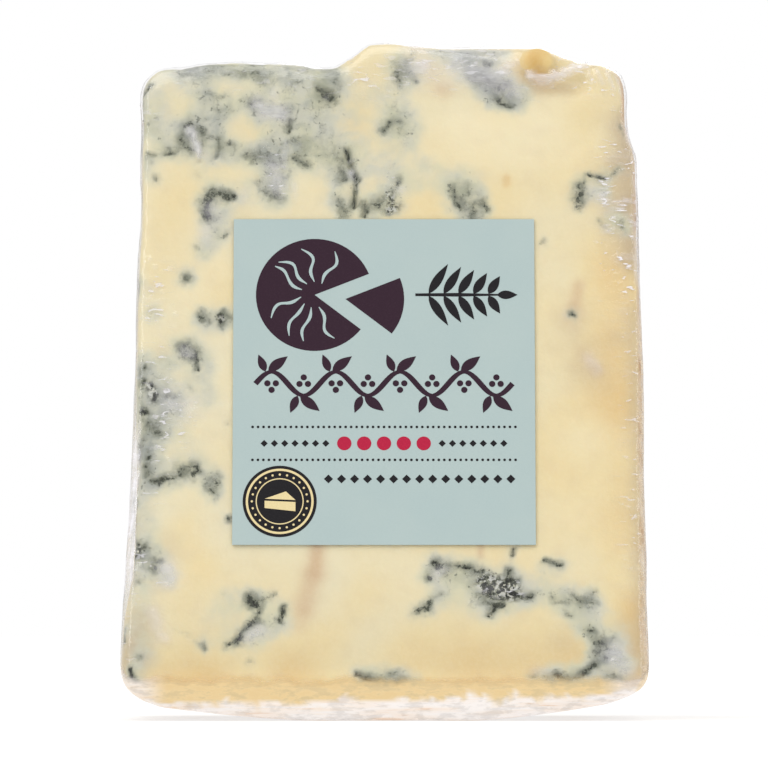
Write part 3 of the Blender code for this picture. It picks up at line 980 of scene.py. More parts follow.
def printed(name, display):
    """Ink on the label, a little uneven as it lies on the fibre."""
    s = Shader(name)
    fibre = s.noise(0.22, 3.0, 0.6)
    lighter = tuple(min(1.0, 1.25 * value + 0.01) for value in linear(*display))
    ink = s.principled(
        Base_Color=s.blend(s.between(0.45, 0.8, fibre, 0.0, 0.5), linear(*display), lighter),
        Roughness=s.between(0.2, 0.8, fibre, 0.42, 0.52),
        Specular_IOR_Level=0.2,
        Normal=s.bump(fibre, 0.12, 0.02),
    )
    return s.finish(ink.outputs["BSDF"])


def mould_grain():
    s = Shader("mould_grain")
    colour = s.blend(s.between(0.3, 0.7, s.noise(0.4)), linear(34, 38, 32), linear(74, 80, 70))
    grain_skin = s.principled(Base_Color=colour, Roughness=0.8, Normal=s.bump(s.noise(0.15), 0.3, 0.03))
    return s.finish(grain_skin.outputs["BSDF"])


def curd_crumb():
    s = Shader("curd_crumb")
    colour = s.blend(s.between(0.3, 0.7, s.noise(0.8)), linear(226, 220, 196), linear(176, 178, 164))
    crumb = s.principled(
        Base_Color=colour,
        Roughness=0.5,
        Normal=s.bump(s.noise(0.25), 0.3, 0.05),
        Subsurface_Weight=0.2,
        Subsurface_Radius=(1.0, 0.9, 0.7),
        Subsurface_Scale=0.4 * MM,
    )
    return s.finish(crumb.outputs["BSDF"])


FLOOR_GLOW = 0.50


def studio_floor():
    """Pale floor with a faint light of its own, which keeps the shadow under the wedge soft."""
    s = Shader("studio_floor")
    colour = s.blend(s.between(0.3, 0.7, s.noise(60.0)), (0.50, 0.50, 0.50), (0.52, 0.52, 0.52))
    card = s.principled(
        Base_Color=colour,
        Roughness=1.0,
        Specular_IOR_Level=0.0,
        Emission_Color=(1.0, 1.0, 1.0),
        Emission_Strength=FLOOR_GLOW,
    )
    return s.finish(card.outputs["BSDF"])


# ---------------------------------------------------------------- the cheese


def paste_colours(points, normals, marks):
    """The paste without its mould: cream to deep yellow, tan and pink smears, rind, painted shade under
    the wax lump, and painted light just above the foot.
    """
    x, z = points[:, 0], points[:, 2]
    slow = grain(points, 17.0, 3.0)
    patchy = grain(points, 6.5, 8.0)
    spotty = grain(points, 2.2, 5.0)
    warmth = cloud_of(points, marks["warmth"], 0.0)
    low = 1.0 - ramp(3.0, 16.0, z)
    share = 0.30 + 0.30 * slow + 0.16 * patchy + 0.004 * x + 0.65 * warmth + 0.35 * low
    share = np.clip(share - 0.35 * marks["mist_field"], 0.0, 1.0)[:, None]
    pale = np.array(linear(228, 219, 187))
    cream = np.array(linear(231, 213, 165))
    yellow = np.array(linear(223, 194, 137))
    colour = pale + (cream - pale) * np.clip(2.0 * share, 0.0, 1.0)
    colour += (yellow - cream) * np.clip(2.0 * share - 1.0, 0.0, 1.0)
    fresh = cloud_of(points, marks["pale"], 0.0)[:, None]
    colour += (np.array(linear(238, 226, 190)) - colour) * 0.85 * fresh
    stain = np.clip(cloud_of(points, marks["stains"], 0.2) + 0.06 * spotty, 0.0, 1.0)[:, None]
    colour += (np.array(linear(203, 171, 134)) - colour) * stain * 0.85
    # duller, browner paste, and painted shade under the wax lump
    dull_and_shade = np.clip(cloud_of(points, marks["dull_and_shade"], 0.0) + 0.10 * spotty, 0.0, 1.0)[:, None]
    colour += (np.array(linear(188, 168, 138)) - colour) * dull_and_shade * 0.88
    # darker towards the bottom; that darkening fades out below about 10 mm, and from 8.4 mm down the
    # paste is lifted by up to 12%: the fading and the lift are painted light that offsets the shade the
    # film's milky foot casts there
    lower = 0.07 * (1.0 - ramp(4.0, 26.0, z)) * ramp(3.0, 10.0, z)
    colour *= (1.0 - lower + 0.12 * (1.0 - ramp(5.0, 8.4, z)))[:, None]
    wax = cloud_of(points, marks["wax"], 0.0)[:, None]
    lump = np.array(linear(222, 190, 122)) + 0.16 * (patchy + spotty)[:, None] * np.array((0.5, 0.7, 0.5))
    colour += (lump - colour) * np.clip(1.3 * wax, 0.0, 0.9)
    return colour, patchy, spotty


def rind_amount(points, normals):
    """Rind under the wedge and, thinner, on the end towards +X."""
    under = ramp(0.35, 0.8, -normals[:, 2])
    end = ramp(0.45, 0.85, normals[:, 0])
    return np.maximum(under, 0.85 * end)


def rind_colours(points, patchy, spotty):
    """Dusty beige crust with orange-brown patches and pale bloom."""
    brown = np.clip(0.4 + 0.9 * patchy + 0.4 * spotty, 0.0, 1.0)[:, None]
    bloom = np.clip(0.35 - 0.8 * grain(points, 3.4, 12.0), 0.0, 1.0)[:, None]
    colour = np.array(linear(224, 206, 178)) * np.ones((len(points), 1))
    colour += (np.array(linear(196, 152, 108)) - colour) * brown
    colour += (np.array(linear(243, 236, 226)) - colour) * 0.8 * bloom
    return colour


def gather_marks(surface):
    """Every mark on the wedge, put on its surface."""
    rng = random.Random(11)
    veins = landed(FACE_VEINS, surface.front)
    mist = landed(FACE_MIST, surface.front)
    back = wandering_veins(rng, 32, (-34.0, 34.0), (8.0, 92.0))
    back += wandering_veins(rng, 20, (-34.0, 6.0), (66.0, 95.0))
    veins += landed(back, surface.back)
    mist += landed([(0.42, 3.0, *m[2:4]) for m in back[::2]], surface.back)
    side = wandering_veins(rng, 14, (-16.0, 16.0), (6.0, 60.0))
    side += wandering_veins(rng, 4, (-5.0, 5.0), (60.0, 92.0))
    veins += landed(side, surface.left)
    mist += landed([(0.4, 2.6, *m[2:4]) for m in side[::2]], surface.left)
    stains = landed(wandering_veins(rng, 8, (-20.0, 20.0), (8.0, 70.0)), surface.right)
    return {
        "veins": veins,
        "mist": mist,
        "warmth": landed(FACE_WARMTH, surface.front),
        "pale": landed(FACE_PALE, surface.front),
        "dull_and_shade": landed(FACE_DULL_AND_SHADE, surface.front),
        "stains": landed(FACE_STAINS, surface.front) + [(0.45, 2.0, p) for _, _, p in stains],
        "cracks": landed(FACE_CRACKS, surface.front),
        "wax": landed([(1.0, WAX_REACH_MM, *WAX_LUMP)], surface.front),
        "hollow": landed([(1.0, HOLLOW_REACH_MM, *HOLLOW)], surface.front),
    }


def cheese_depth(points, normals, core, mist, rind, marks):
    """How far the cheese stands back from the film, in mm."""
    waves = 0.5 + 0.5 * grain(points, 4.0, 21.0)
    fine = 0.5 + 0.5 * grain(points, 1.2, 22.0)
    finest = 0.5 + 0.5 * grain(points, 0.7, 23.0)
    depth = FILM_GAP_MM + 0.10 * waves + 0.04 * fine
    depth += np.clip(core, 0.0, 1.2) * (0.10 + 0.55 * finest**2)
    depth += mist * 0.22 * fine**2
    depth += rind * (0.14 * np.abs(grain(points, 1.6, 24.0)) + 0.05 * finest)
    for deep, width, path in marks["cracks"]:
        away = distance_to_path(points, path)
        depth = np.maximum(depth, deep * (1.0 - ramp(0.4 * width, 1.6 * width, away)))
    depth -= 0.9 * ramp(0.25, 0.7, cloud_of(points, marks["wax"], 0.0))
    hollow = cloud_of(points, marks["hollow"], 0.4)
    depth += HOLLOW_DEPTH_MM * np.clip(1.2 * hollow, 0.0, 1.0)
    left_end = ramp(0.25, 0.85, -normals[:, 0])
    height = points[:, 2]
    middle = ramp(RECESS_LOW_MM - 4.0, RECESS_LOW_MM + 6.0, height)
    middle *= 1.0 - ramp(RECESS_HIGH_MM - 22.0, RECESS_HIGH_MM + 2.0, height)
    depth += RECESS_DEPTH_MM * left_end * middle
    return depth


def build_cheese(solid, surface, material):
    bm = even_skin(solid, CHEESE_VOXEL, "cheese_even")
    refine(bm, lambda vert: vert.normal.y < -0.45)
    mesh = finished_mesh(bm, "veined_cheese")
    places, normals = mesh_arrays(mesh)
    marks = gather_marks(surface)
    rough = swirl(places, 2.2, 0.45, 1.0)
    rough = swirl(rough, 0.9, 0.32, 2.0)
    core = 1.08 * spread_of(rough, marks["veins"], 0.04)
    smoke = cloud_of(rough, marks["veins"], 0.45)
    mist = cloud_of(rough, marks["mist"], 0.0)
    mist *= 1.0 - cloud_of(rough, landed(FACE_CLEAR, surface.front), 0.0)
    mist = 1.0 - (1.0 - mist) * (1.0 - 0.4 * cloud_of(rough, marks["veins"], 1.1))
    marks["mist_field"] = mist
    rind = rind_amount(places, normals)
    colour, patchy, spotty = paste_colours(places, normals, marks)
    crust = rind_colours(places, patchy, spotty)
    colour += (crust - colour) * rind[:, None]
    core = core * (1.0 - 0.5 * rind)
    smoke = smoke * (1.0 - 0.7 * rind)
    add_colour(mesh, "paste", (*np.clip(colour, 0.0, 1.0).T, smoke))
    loose = ramp(0.35, 0.8, cloud_of(rough, landed(FACE_CRUMBLE, surface.front), 0.0))
    add_colour(mesh, "veins", (np.clip(core, 0.0, 1.4), mist * (1.0 - 0.6 * rind), rind, loose))
    depth = cheese_depth(places, normals, core, mist, rind, marks)
    set_places(mesh, places - normals * depth[:, None])
    add_number(mesh, "mouldy", np.maximum(0.5 * ramp(0.8, 1.2, core) * (1.0 - rind), loose))
    add_number(mesh, "crumbly", loose)
    mesh.materials.append(material)
    return link_object("veined_cheese", mesh)


# ---------------------------------------------------------------- the film


def film_calm(points, label):
    """0 under the label and just round it, on the labelled face."""
    low, high = label
    out_x = np.maximum(low[0] - points[:, 0], points[:, 0] - high[0])
    out_z = np.maximum(low[2] - points[:, 2], points[:, 2] - high[2])
    away = np.maximum(out_x, out_z)
    calm = ramp(0.5, 5.0, away)
    return np.where(points[:, 1] > 0.0, 1.0, calm)


FILM_FOLDS = (
    # height, half width, points (x, z): where the film bridges the hollow and gathers at the nose. A fold
    # is as milky as it is high; that white is partly painted highlight along the fold
    (0.50, 0.45, 21.4, 95.2, 22.8, 94.6, 24.4, 94.6, 26.6, 95.2, 28.4, 96.2, 29.8, 96.6),
    (0.30, 0.20, 24.6, 95.6, 26.8, 96.1, 28.6, 97.0),
    (0.30, 0.25, 11.6, 98.0, 15.0, 97.7, 19.4, 97.0),
    (0.28, 0.20, 12.6, 96.4, 15.6, 93.6, 18.4, 91.8),
    (0.25, 0.20, 10.6, 97.6, 13.2, 94.6, 15.4, 92.8),
    (0.26, 0.20, 16.6, 96.8, 18.6, 95.2),
    (0.28, 0.20, -16.0, 97.0, -15.9, 91.6),
    (0.26, 0.20, -14.3, 85.8, -14.5, 81.2),
    (0.20, 0.18, -20.2, 79.2, -20.7, 75.4),
    (0.20, 0.18, -13.2, 79.0, -13.5, 74.6),
    (0.26, 0.30, -28.2, 86.8, -27.2, 83.0),
    (0.20, 0.18, -5.3, 81.2, -4.9, 79.8),
    (0.20, 0.22, 31.4, 96.2, 32.4, 93.8),
    (0.22, 0.22, 33.0, 95.8, 34.0, 93.0),
    (0.18, 0.20, 30.2, 96.0, 30.8, 94.0),
    (0.20, 0.20, 34.4, 94.8, 35.2, 91.8),
    (0.16, 0.18, -26.6, 46.4, -29.4, 43.4),
    (0.16, 0.16, -29.8, 47.4, -30.4, 45.0),
    (0.16, 0.30, -33.4, 15.8, -32.0, 11.8),
)

# Milky smears where the film lifts: strength, half width, points (x, z)
FILM_MILK = (
    (0.50, 0.6, -28.6, 86.8, -27.2, 83.0),
    (0.40, 1.3, -18.4, 90.6, -16.6, 89.8, -15.0, 89.4),
    (0.15, 1.0, -30.4, 96.2, -27.6, 96.2),
    (0.30, 1.3, -16.2, 81.6, -15.6, 77.8),
    (0.40, 1.1, -25.2, 75.2, -24.2, 73.4),
    (0.25, 1.4, -26.0, 72.2, -25.6, 70.6),
    (0.30, 1.2, -29.0, 53.8),
    (0.25, 2.0, -31.2, 46.4, -28.6, 46.0),
    (0.35, 1.4, -31.6, 22.0, -31.2, 20.6),
    (0.22, 1.0, -33.6, 16.0, -32.0, 12.0),
    (0.30, 1.0, -18.2, 13.0, -19.6, 12.2),
    (0.35, 2.0, 10.6, 96.2, 14.4, 95.2, 17.6, 94.2),
    (0.25, 1.2, 19.6, 92.6),
    (0.40, 0.6, -4.9, 80.1),
    (0.35, 0.7, 2.4, 78.0),
    (0.16, 1.1, 31.0, 77.6, 32.2, 76.6),
    (0.30, 0.8, 36.0, 87.6, 36.4, 85.6),
    (0.35, 0.8, 7.6, 21.0, 8.6, 21.8),
    (0.30, 1.8, 33.2, 10.0, 34.8, 8.0),
    (0.25, 1.4, 22.6, 6.2, 26.4, 5.6),
    (0.20, 1.0, 30.0, 53.0, 31.0, 51.4),
)


# Where the film is finely crinkled: strength, half width, points (x, z)
FILM_CRINKLES = (
    (0.40, 2.6, -33.4, 66.0, -33.4, 52.0, -31.0, 42.0, -33.4, 34.0),
    (0.45, 1.8, -4.4, 95.6, -2.6, 93.6),
    (0.45, 2.0, -27.0, 46.0, -30.0, 44.0),
    (0.22, 2.4, -34.6, 89.0, -34.0, 94.0),
    (0.45, 1.6, -17.0, 84.0, -15.6, 77.0),
    (0.40, 1.6, 0.4, 79.6, 2.4, 76.6),
    (0.36, 2.2, -35.0, 25.0, -33.6, 21.0),
    (0.25, 2.2, 33.0, 94.0, 35.0, 88.0),
    (0.45, 1.6, 14.0, 20.4, 19.0, 19.0),
)

# Small blisters that catch the light, each with a faint painted glint: (x, z)
FILM_BLISTERS = (
    (-34.6, 89.6), (-28.4, 86.6), (-16.2, 87.9), (-12.4, 84.6),
    (-8.6, 91.6), (-7.4, 96.2), (1.6, 79.2), (-4.8, 82.2), (-33.6, 66.4), (-34.4, 67.6),
    (-32.6, 62.6), (-30.6, 59.4), (-31.2, 49.4), (-29.6, 42.8), (-31.4, 38.0), (-28.6, 34.6),
    (-33.2, 21.8), (-35.4, 22.4), (-32.0, 4.4), (-5.6, 95.4), (-4.2, 94.2), (3.2, 95.8),
    (6.4, 94.4), (8.4, 96.2), (22.8, 96.9), (27.8, 75.4),
    (26.8, 59.0), (12.2, 17.2), (20.4, 20.2), (33.2, 8.6), (31.4, 15.2), (-10.6, 6.2),
)
BLISTER_MM = 0.38
BLISTER_HEIGHT_MM = 0.22


def crests(points, long_mm, short_mm, seed):
    """Sharp crests lying level, broken up along their length."""
    level = stretched_grain(points, (long_mm, long_mm, short_mm), seed)
    broken = ramp(-0.15, 0.35, grain(points, 0.6 * long_mm, seed + 1.0))
    return np.clip(1.0 - 3.0 * np.abs(level), 0.0, 1.0) * broken


def film_height(points, normals, surface, calm):
    """Wrinkles of the film over the solid's surface, in mm; its whiteness, partly painted highlights
    along crests, folds and blisters and painted glare on the foot; and its crinkling.
    """
    x, z = points[:, 0], points[:, 2]
    end = ramp(0.5, 0.95, np.abs(normals[:, 0]))
    right_edge = ramp(29.5, 35.0, x)
    gathered = right_edge * ramp(56.0, 64.0, z) * (1.0 - ramp(83.0, 90.0, z))
    left_edge = ramp(-33.0, -37.0, x)
    crinkled = np.maximum(0.8 * gathered, 0.22 * left_edge)
    crinkled = np.maximum(crinkled, 0.35 * ramp(32.0, 36.5, x) * ramp(14.0, 22.0, z))
    crinkled = np.maximum(crinkled, 0.42 * ramp(26.0, 30.0, x) * ramp(90.0, 93.5, z))
    crinkled = np.maximum(crinkled, 0.14 * end)
    crinkled = np.maximum(crinkled, cloud_of(points, landed(FILM_CRINKLES, surface.front), 0.0))
    crest = crests(points, 6.0, 0.9, 31.0)
    broad = crests(points, 14.0, 2.6, 32.0)
    height = 0.12 * crest * crinkled + 0.12 * broad * np.maximum(crinkled, 0.4 * left_edge)
    height += 0.12 * grain(points, 7.0, 33.0) * end
    height += 0.04 * grain(points, 8.0, 34.0)
    # white along the crests, here and in the level streaks at the right edge: partly crinkled film,
    # partly painted highlights on them
    milk_and_glare = 0.22 * crest * crinkled
    streaked = ramp(30.5, 33.5, x) * (1.0 - ramp(2.0, 6.0, np.abs(z - 75.5)))
    milk_and_glare = np.maximum(milk_and_glare, 0.65 * streaked * crests(points, 4.0, 0.34, 41.0))
    milk = cloud_of(swirl(points, 1.6, 0.5, 44.0), landed(FILM_MILK, surface.front), 0.0)
    milk_and_glare = np.maximum(milk_and_glare, milk)
    # folds: raised, and white as high as they stand; the white is partly painted highlight
    for tall, width, path in landed(FILM_FOLDS, surface.front):
        away = distance_to_path(points, path)
        fold = 1.0 - ramp(0.3 * width, 2.2 * width, away)
        height = np.maximum(height, tall * fold)
        milk_and_glare = np.maximum(milk_and_glare, tall * fold)
    for spot in FILM_BLISTERS:
        away = distance_to_path(points, [surface.front(*spot)])
        bubble = 1.0 - ramp(0.1 * BLISTER_MM, 1.6 * BLISTER_MM, away)
        height += BLISTER_HEIGHT_MM * bubble
        # painted glint: a faint white dot on each blister
        milk_and_glare = np.maximum(milk_and_glare, 0.12 * bubble)
    # creases on the back and drapes on the ends: raised, and white along their crests, partly crinkled
    # film and partly painted sheen
    rear = ramp(0.4, 0.8, normals[:, 1]) * ramp(6.0, 14.0, z)
    slant = np.column_stack((0.87 * x + 0.5 * z, points[:, 1], 0.87 * z - 0.5 * x))
    pulled = crests(slant, 16.0, 1.6, 51.0) * ramp(-0.1, 0.5, grain(points, 13.0, 53.0))
    height += 0.22 * rear * pulled
    milk_and_glare = np.maximum(milk_and_glare, 0.16 * rear * pulled)
    crinkled = np.maximum(crinkled, 0.10 * rear + 0.25 * rear * pulled)
    upright = np.column_stack((x, z, points[:, 1]))
    draped = crests(upright, 18.0, 1.4, 55.0) * end
    height += 0.18 * draped
    milk_and_glare = np.maximum(milk_and_glare, 0.14 * draped)
    nose = ramp(86.0, 97.0, z)
    height += 0.10 * nose * np.abs(stretched_grain(points, (1.6, 3.0, 6.0), 35.0))
    crinkled = np.maximum(crinkled, 0.24 * nose)
    return height * calm, milk_and_glare * calm, crinkled * calm


def ragged_line(points):
    """Height of the uneven line where the milky foot begins, in mm."""
    along = (-36.0, -30.0, -22.0, -12.0, -4.0, 8.0, 19.0, 28.0, 36.0)
    level = (2.9, 2.6, 2.8, 2.9, 3.3, 3.2, 4.0, 3.7, 4.4)
    rise = 0.9 * grain(points, 4.0, 39.0) + 0.7 * grain(points, 1.3, 40.0)
    return np.interp(points[:, 0], along, level) + rise


def film_whiteness(points, normals, milk_and_glare, level):
    """Where the film gathers in layers and turns milky: both ends, the foot and the underside; the foot's
    pale pinkish white is partly gathered film and partly painted glare.

    Gives the milkiness, how pinkish it is, and where curd and rind tint it.
    """
    x, z = points[:, 0], points[:, 2]
    speckle = 0.5 + 0.5 * grain(points, 0.9, 37.0)
    lengthwise = 0.5 + 0.5 * stretched_grain(points, (0.7, 0.7, 12.0), 38.0)
    behind = points[:, 1] + FACE_LEAN * (APEX_MM - z)
    wobble = 3.0 * grain(points, 9.0, 47.0)
    proud = ramp(0.12, 0.6, -normals[:, 0]) * (1.0 - 0.65 * ramp(3.0, 13.0, behind))
    proud *= ramp(14.0, 23.0, z + wobble) * (1.0 - ramp(38.0, 49.0, z + 1.2 * wobble))
    milk_and_glare = np.maximum(milk_and_glare, proud * (0.30 + 0.50 * ramp(0.35, 0.75, lengthwise)))
    seam = ramp(0.25, 0.65, normals[:, 0]) * (1.0 - ramp(56.0, 64.0, z))
    milk_and_glare = np.maximum(milk_and_glare, seam * np.clip(1.7 * speckle - 0.66, 0.04, 0.42))
    end = ramp(0.6, 0.95, np.abs(normals[:, 0]))
    milk_and_glare = np.maximum(milk_and_glare, end * 0.12)
    nose = ramp(91.5, 96.0, z) * ramp(1.0, 6.0, x) * (1.0 - ramp(17.0, 22.0, x))
    drawn = crests(points, 9.0, 0.40, 43.0)
    milk_and_glare = np.maximum(milk_and_glare, nose * (0.18 + 0.42 * drawn))
    streaks = 0.5 + 0.5 * stretched_grain(points, (14.0, 14.0, 0.5), 36.0)
    away = level - ragged_line(points)
    # pale foot below the ragged line: gathered film, its near-white partly painted glare
    pale = 1.0 - ramp(-0.30, 0.30, away)
    # the milky foot reaches up to about 6.9 mm and its ochre tint to 8 mm, covering the shade on the
    # paste just above the foot: painted light
    lip = level + 0.6 * grain(points, 3.4, 48.0) + 0.4 * grain(points, 1.1, 49.0)
    below = np.maximum(ramp(-0.15, 0.30, -normals[:, 2]), 1.0 - ramp(4.8, 6.9, lip))
    corner = ramp(31.0, 35.5, np.abs(x))
    flecks = ramp(0.15, 0.45, stretched_grain(points, (1.6, 1.6, 0.5), 45.0))
    flecks *= np.exp(-((away / 0.9) ** 2)) * ramp(0.0, 0.4, grain(points, 6.0, 46.0) + 0.15)
    tan = np.maximum((1.0 - ramp(6.4, 8.0, level)) * (1.0 - pale), 0.85 * flecks)
    tan *= 1.0 - 0.8 * corner
    tan = np.maximum(tan, 0.6 * seam * (1.0 - pale))
    milk_and_glare = np.maximum(milk_and_glare, np.maximum(pale * (0.82 + 0.14 * streaks), 0.92 * below))
    milk_and_glare = np.maximum(milk_and_glare, 0.8 * flecks)
    pink = np.maximum(np.maximum(pale, below), 0.8 * seam)
    return milk_and_glare, pink, tan


SKIRT_MM = 5.0


def square_the_foot(points, surface):
    """The film lies flat under the wedge and stands straight up from there to the faces."""
    steps = np.arange(-40.0, 41.0, 1.0)
    under = np.array([surface.land((x, 0.0, -30.0), (0.0, 0.0, 1.0))[2] for x in steps])
    heights = (2.4, 3.4, 4.4, SKIRT_MM + 0.4)
    front = np.array([max(-surface.front(x, z)[1] for z in heights) for x in steps])
    floor_level = np.interp(points[:, 0], steps, under)
    face_level = np.interp(points[:, 0], steps, front)
    away = np.abs(points[:, 1])
    in_y = away - (face_level - SKIRT_MM)
    in_z = floor_level + SKIRT_MM - points[:, 2]
    low = in_z > 0.0
    corner = low & (in_y > 0.0)
    flat = np.power(np.abs(in_y) ** 8 + np.abs(in_z) ** 8, 1.0 / 8.0) + 1e-9
    share = SKIRT_MM / flat - 1.0
    hold = 1.0 - ramp(32.0, 36.6, np.abs(points[:, 0]))
    ease = ramp(0.0, 1.8, in_z)
    points[:, 1] += np.sign(points[:, 1]) * np.where(corner, in_y * share * hold * ease, 0.0)
    sunk = np.where(corner, in_z * share, np.where(low, SKIRT_MM - in_z, 0.0))
    points[:, 2] -= sunk * hold
    return points


def build_film(solid, surface, material):
    bm = even_skin(solid, FILM_VOXEL, "film_even")
    refine(bm, lambda vert: vert.normal.y < -0.3 and abs(vert.co.x) > 29.0 * MM)
    mesh = finished_mesh(bm, "clear_film")
    places, normals = mesh_arrays(mesh)
    low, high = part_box("label")
    calm = film_calm(places, (np.array(low) / MM, np.array(high) / MM))
    height, milk_and_glare, crinkled = film_height(places, normals, surface, calm)
    moved = square_the_foot(places + normals * height[:, None], surface)
    moved[:, 2] = np.maximum(moved[:, 2], 0.02)
    milk_and_glare, foot, tan = film_whiteness(places, normals, milk_and_glare, moved[:, 2])
    set_places(mesh, moved)
    add_colour(mesh, "film", (np.clip(milk_and_glare, 0.0, 0.94), np.clip(crinkled, 0.0, 1.0), foot, tan))
    mesh.materials.append(material)
    return link_object("clear_film", mesh)


# ---------------------------------------------------------------- scattered grains


def scatter_tree(name, shape, material):
    """Geometry Nodes: uneven little lumps on the faces where an attribute is high."""
    tree = bpy.data.node_groups.new(name, "GeometryNodeTree")
    face = tree.interface
    face.new_socket("Geometry", in_out="INPUT", socket_type="NodeSocketGeometry")
    for label, kind, value in (
        ("Density", "NodeSocketFloat", 1.0),
        ("Least Size", "NodeSocketFloat", 0.1 * MM),
        ("Most Size", "NodeSocketFloat", 0.3 * MM),
        ("Unevenness", "NodeSocketFloat", 0.05 * MM),
        ("Seed", "NodeSocketInt", 1),
    ):
        face.new_socket(label, in_out="INPUT", socket_type=kind).default_value = value
    face.new_socket("Geometry", in_out="OUTPUT", socket_type="NodeSocketGeometry")
    nodes, links = tree.nodes, tree.links
    given = nodes.new("NodeGroupInput")
    wanted = nodes.new("GeometryNodeInputNamedAttribute")
    wanted.data_type = "FLOAT"
    wanted.inputs["Name"].default_value = shape
    amount = nodes.new("ShaderNodeMath")
    amount.operation = "MULTIPLY"
    links.new(wanted.outputs["Attribute"], amount.inputs[0])
    links.new(given.outputs["Density"], amount.inputs[1])
    points = nodes.new("GeometryNodeDistributePointsOnFaces")
    links.new(given.outputs["Geometry"], points.inputs["Mesh"])
    links.new(amount.outputs[0], points.inputs["Density"])
    links.new(given.outputs["Seed"], points.inputs["Seed"])
    lump = nodes.new("GeometryNodeMeshIcoSphere")
    lump.inputs["Radius"].default_value = 1.0
    lump.inputs["Subdivisions"].default_value = 2
    turn = nodes.new("FunctionNodeRandomValue")
    turn.data_type = "FLOAT_VECTOR"
    turn.inputs[1].default_value = (2.0 * math.pi, 2.0 * math.pi, 2.0 * math.pi)
    links.new(given.outputs["Seed"], turn.inputs["Seed"])
    size = nodes.new("FunctionNodeRandomValue")
    links.new(given.outputs["Least Size"], size.inputs[2])
    links.new(given.outputs["Most Size"], size.inputs[3])
    links.new(given.outputs["Seed"], size.inputs["Seed"])
    squash = nodes.new("FunctionNodeRandomValue")
    squash.data_type = "FLOAT_VECTOR"
    squash.inputs[0].default_value = (0.6, 0.6, 0.35)
    squash.inputs[1].default_value = (1.3, 1.3, 0.8)
    links.new(given.outputs["Seed"], squash.inputs["Seed"])
    scale = nodes.new("ShaderNodeVectorMath")
    scale.operation = "SCALE"
    links.new(squash.outputs[0], scale.inputs[0])
    links.new(size.outputs[1], scale.inputs["Scale"])
    placed = nodes.new("GeometryNodeInstanceOnPoints")
    links.new(points.outputs["Points"], placed.inputs["Points"])
    links.new(lump.outputs["Mesh"], placed.inputs["Instance"])
    links.new(turn.outputs[0], placed.inputs["Rotation"])
    links.new(scale.outputs[0], placed.inputs["Scale"])
    real = nodes.new("GeometryNodeRealizeInstances")
    links.new(placed.outputs["Instances"], real.inputs["Geometry"])
    rough = nodes.new("ShaderNodeTexNoise")
    rough.inputs["Scale"].default_value = 1.0 / (0.35 * MM)
    centred = nodes.new("ShaderNodeVectorMath")
    centred.operation = "SUBTRACT"
    centred.inputs[1].default_value = (0.5, 0.5, 0.5)
    links.new(rough.outputs["Color"], centred.inputs[0])
    pushed = nodes.new("ShaderNodeVectorMath")
    pushed.operation = "SCALE"
    links.new(centred.outputs[0], pushed.inputs[0])
    links.new(given.outputs["Unevenness"], pushed.inputs["Scale"])
    moved = nodes.new("GeometryNodeSetPosition")
    links.new(real.outputs["Geometry"], moved.inputs["Geometry"])
    links.new(pushed.outputs[0], moved.inputs["Offset"])
    coat = nodes.new("GeometryNodeSetMaterial")
    coat.inputs["Material"].default_value = material
    links.new(moved.outputs["Geometry"], coat.inputs["Geometry"])
    result = nodes.new("NodeGroupOutput")
    links.new(coat.outputs["Geometry"], result.inputs["Geometry"])
    return tree


def grown(name, base, tree, values):
    """Run a Geometry Nodes tree on a mesh and keep the result as a plain mesh object."""
    item = link_object(name, base)
    modifier = item.modifiers.new("grow", "NODES")
    modifier.node_group = tree
    sockets = {s.name: s.identifier for s in tree.interface.items_tree if s.in_out == "INPUT"}
    for label, value in values.items():
        modifier[sockets[label]] = value
    bpy.context.view_layer.update()
    graph = bpy.context.evaluated_depsgraph_get()
    mesh = bpy.data.meshes.new_from_object(item.evaluated_get(graph))
    item.modifiers.clear()
    bpy.data.objects.remove(item)
    mesh.name = name
    mesh.shade_smooth()
    return link_object(name, mesh)


def scatter_over(name, cheese, tree, values):
    """Loose bits over the cheese, as one plain mesh."""
    return grown(name, cheese.data.copy(), tree, values)


# ---------------------------------------------------------------- the label


class LabelPlace:
    """The label's own frame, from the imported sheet: u across, v up the sheet, w out of it."""

    def __init__(self, node):
        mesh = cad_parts[node].data
        corners = np.array([vert.co for vert in mesh.vertices]) / MM
        widest = max(mesh.polygons, key=lambda face: face.area * (face.normal.y < 0.0))
        self.out = np.array(widest.normal)
        self.across = np.array((1.0, 0.0, 0.0))
        self.up = np.cross(self.out, self.across)
        if self.up[2] < 0.0:
            self.up = -self.up
        self.centre = 0.5 * (corners.min(axis=0) + corners.max(axis=0))
        away = corners - self.centre
        self.half_width = np.abs(away @ self.across).max()
        self.half_height = np.abs(away @ self.up).max()
        self.half_thickness = np.abs(away @ self.out).max()

    def point(self, u, v, w):
        return Vector((self.centre + u * self.across + v * self.up + w * self.out) * MM)


TOUCH_GAP_MM = 0.3
SHEET_MM = 0.12
SHEET_LIFT_MM = 0.10
INK_MM = 0.025
HAIR_MM = 0.002


def sheet_buckle(u, v):
    """How the sheet follows the film: a slow swell."""
    return 0.035 * noise.noise(Vector((u / 13.0, v / 13.0, 4.0)))


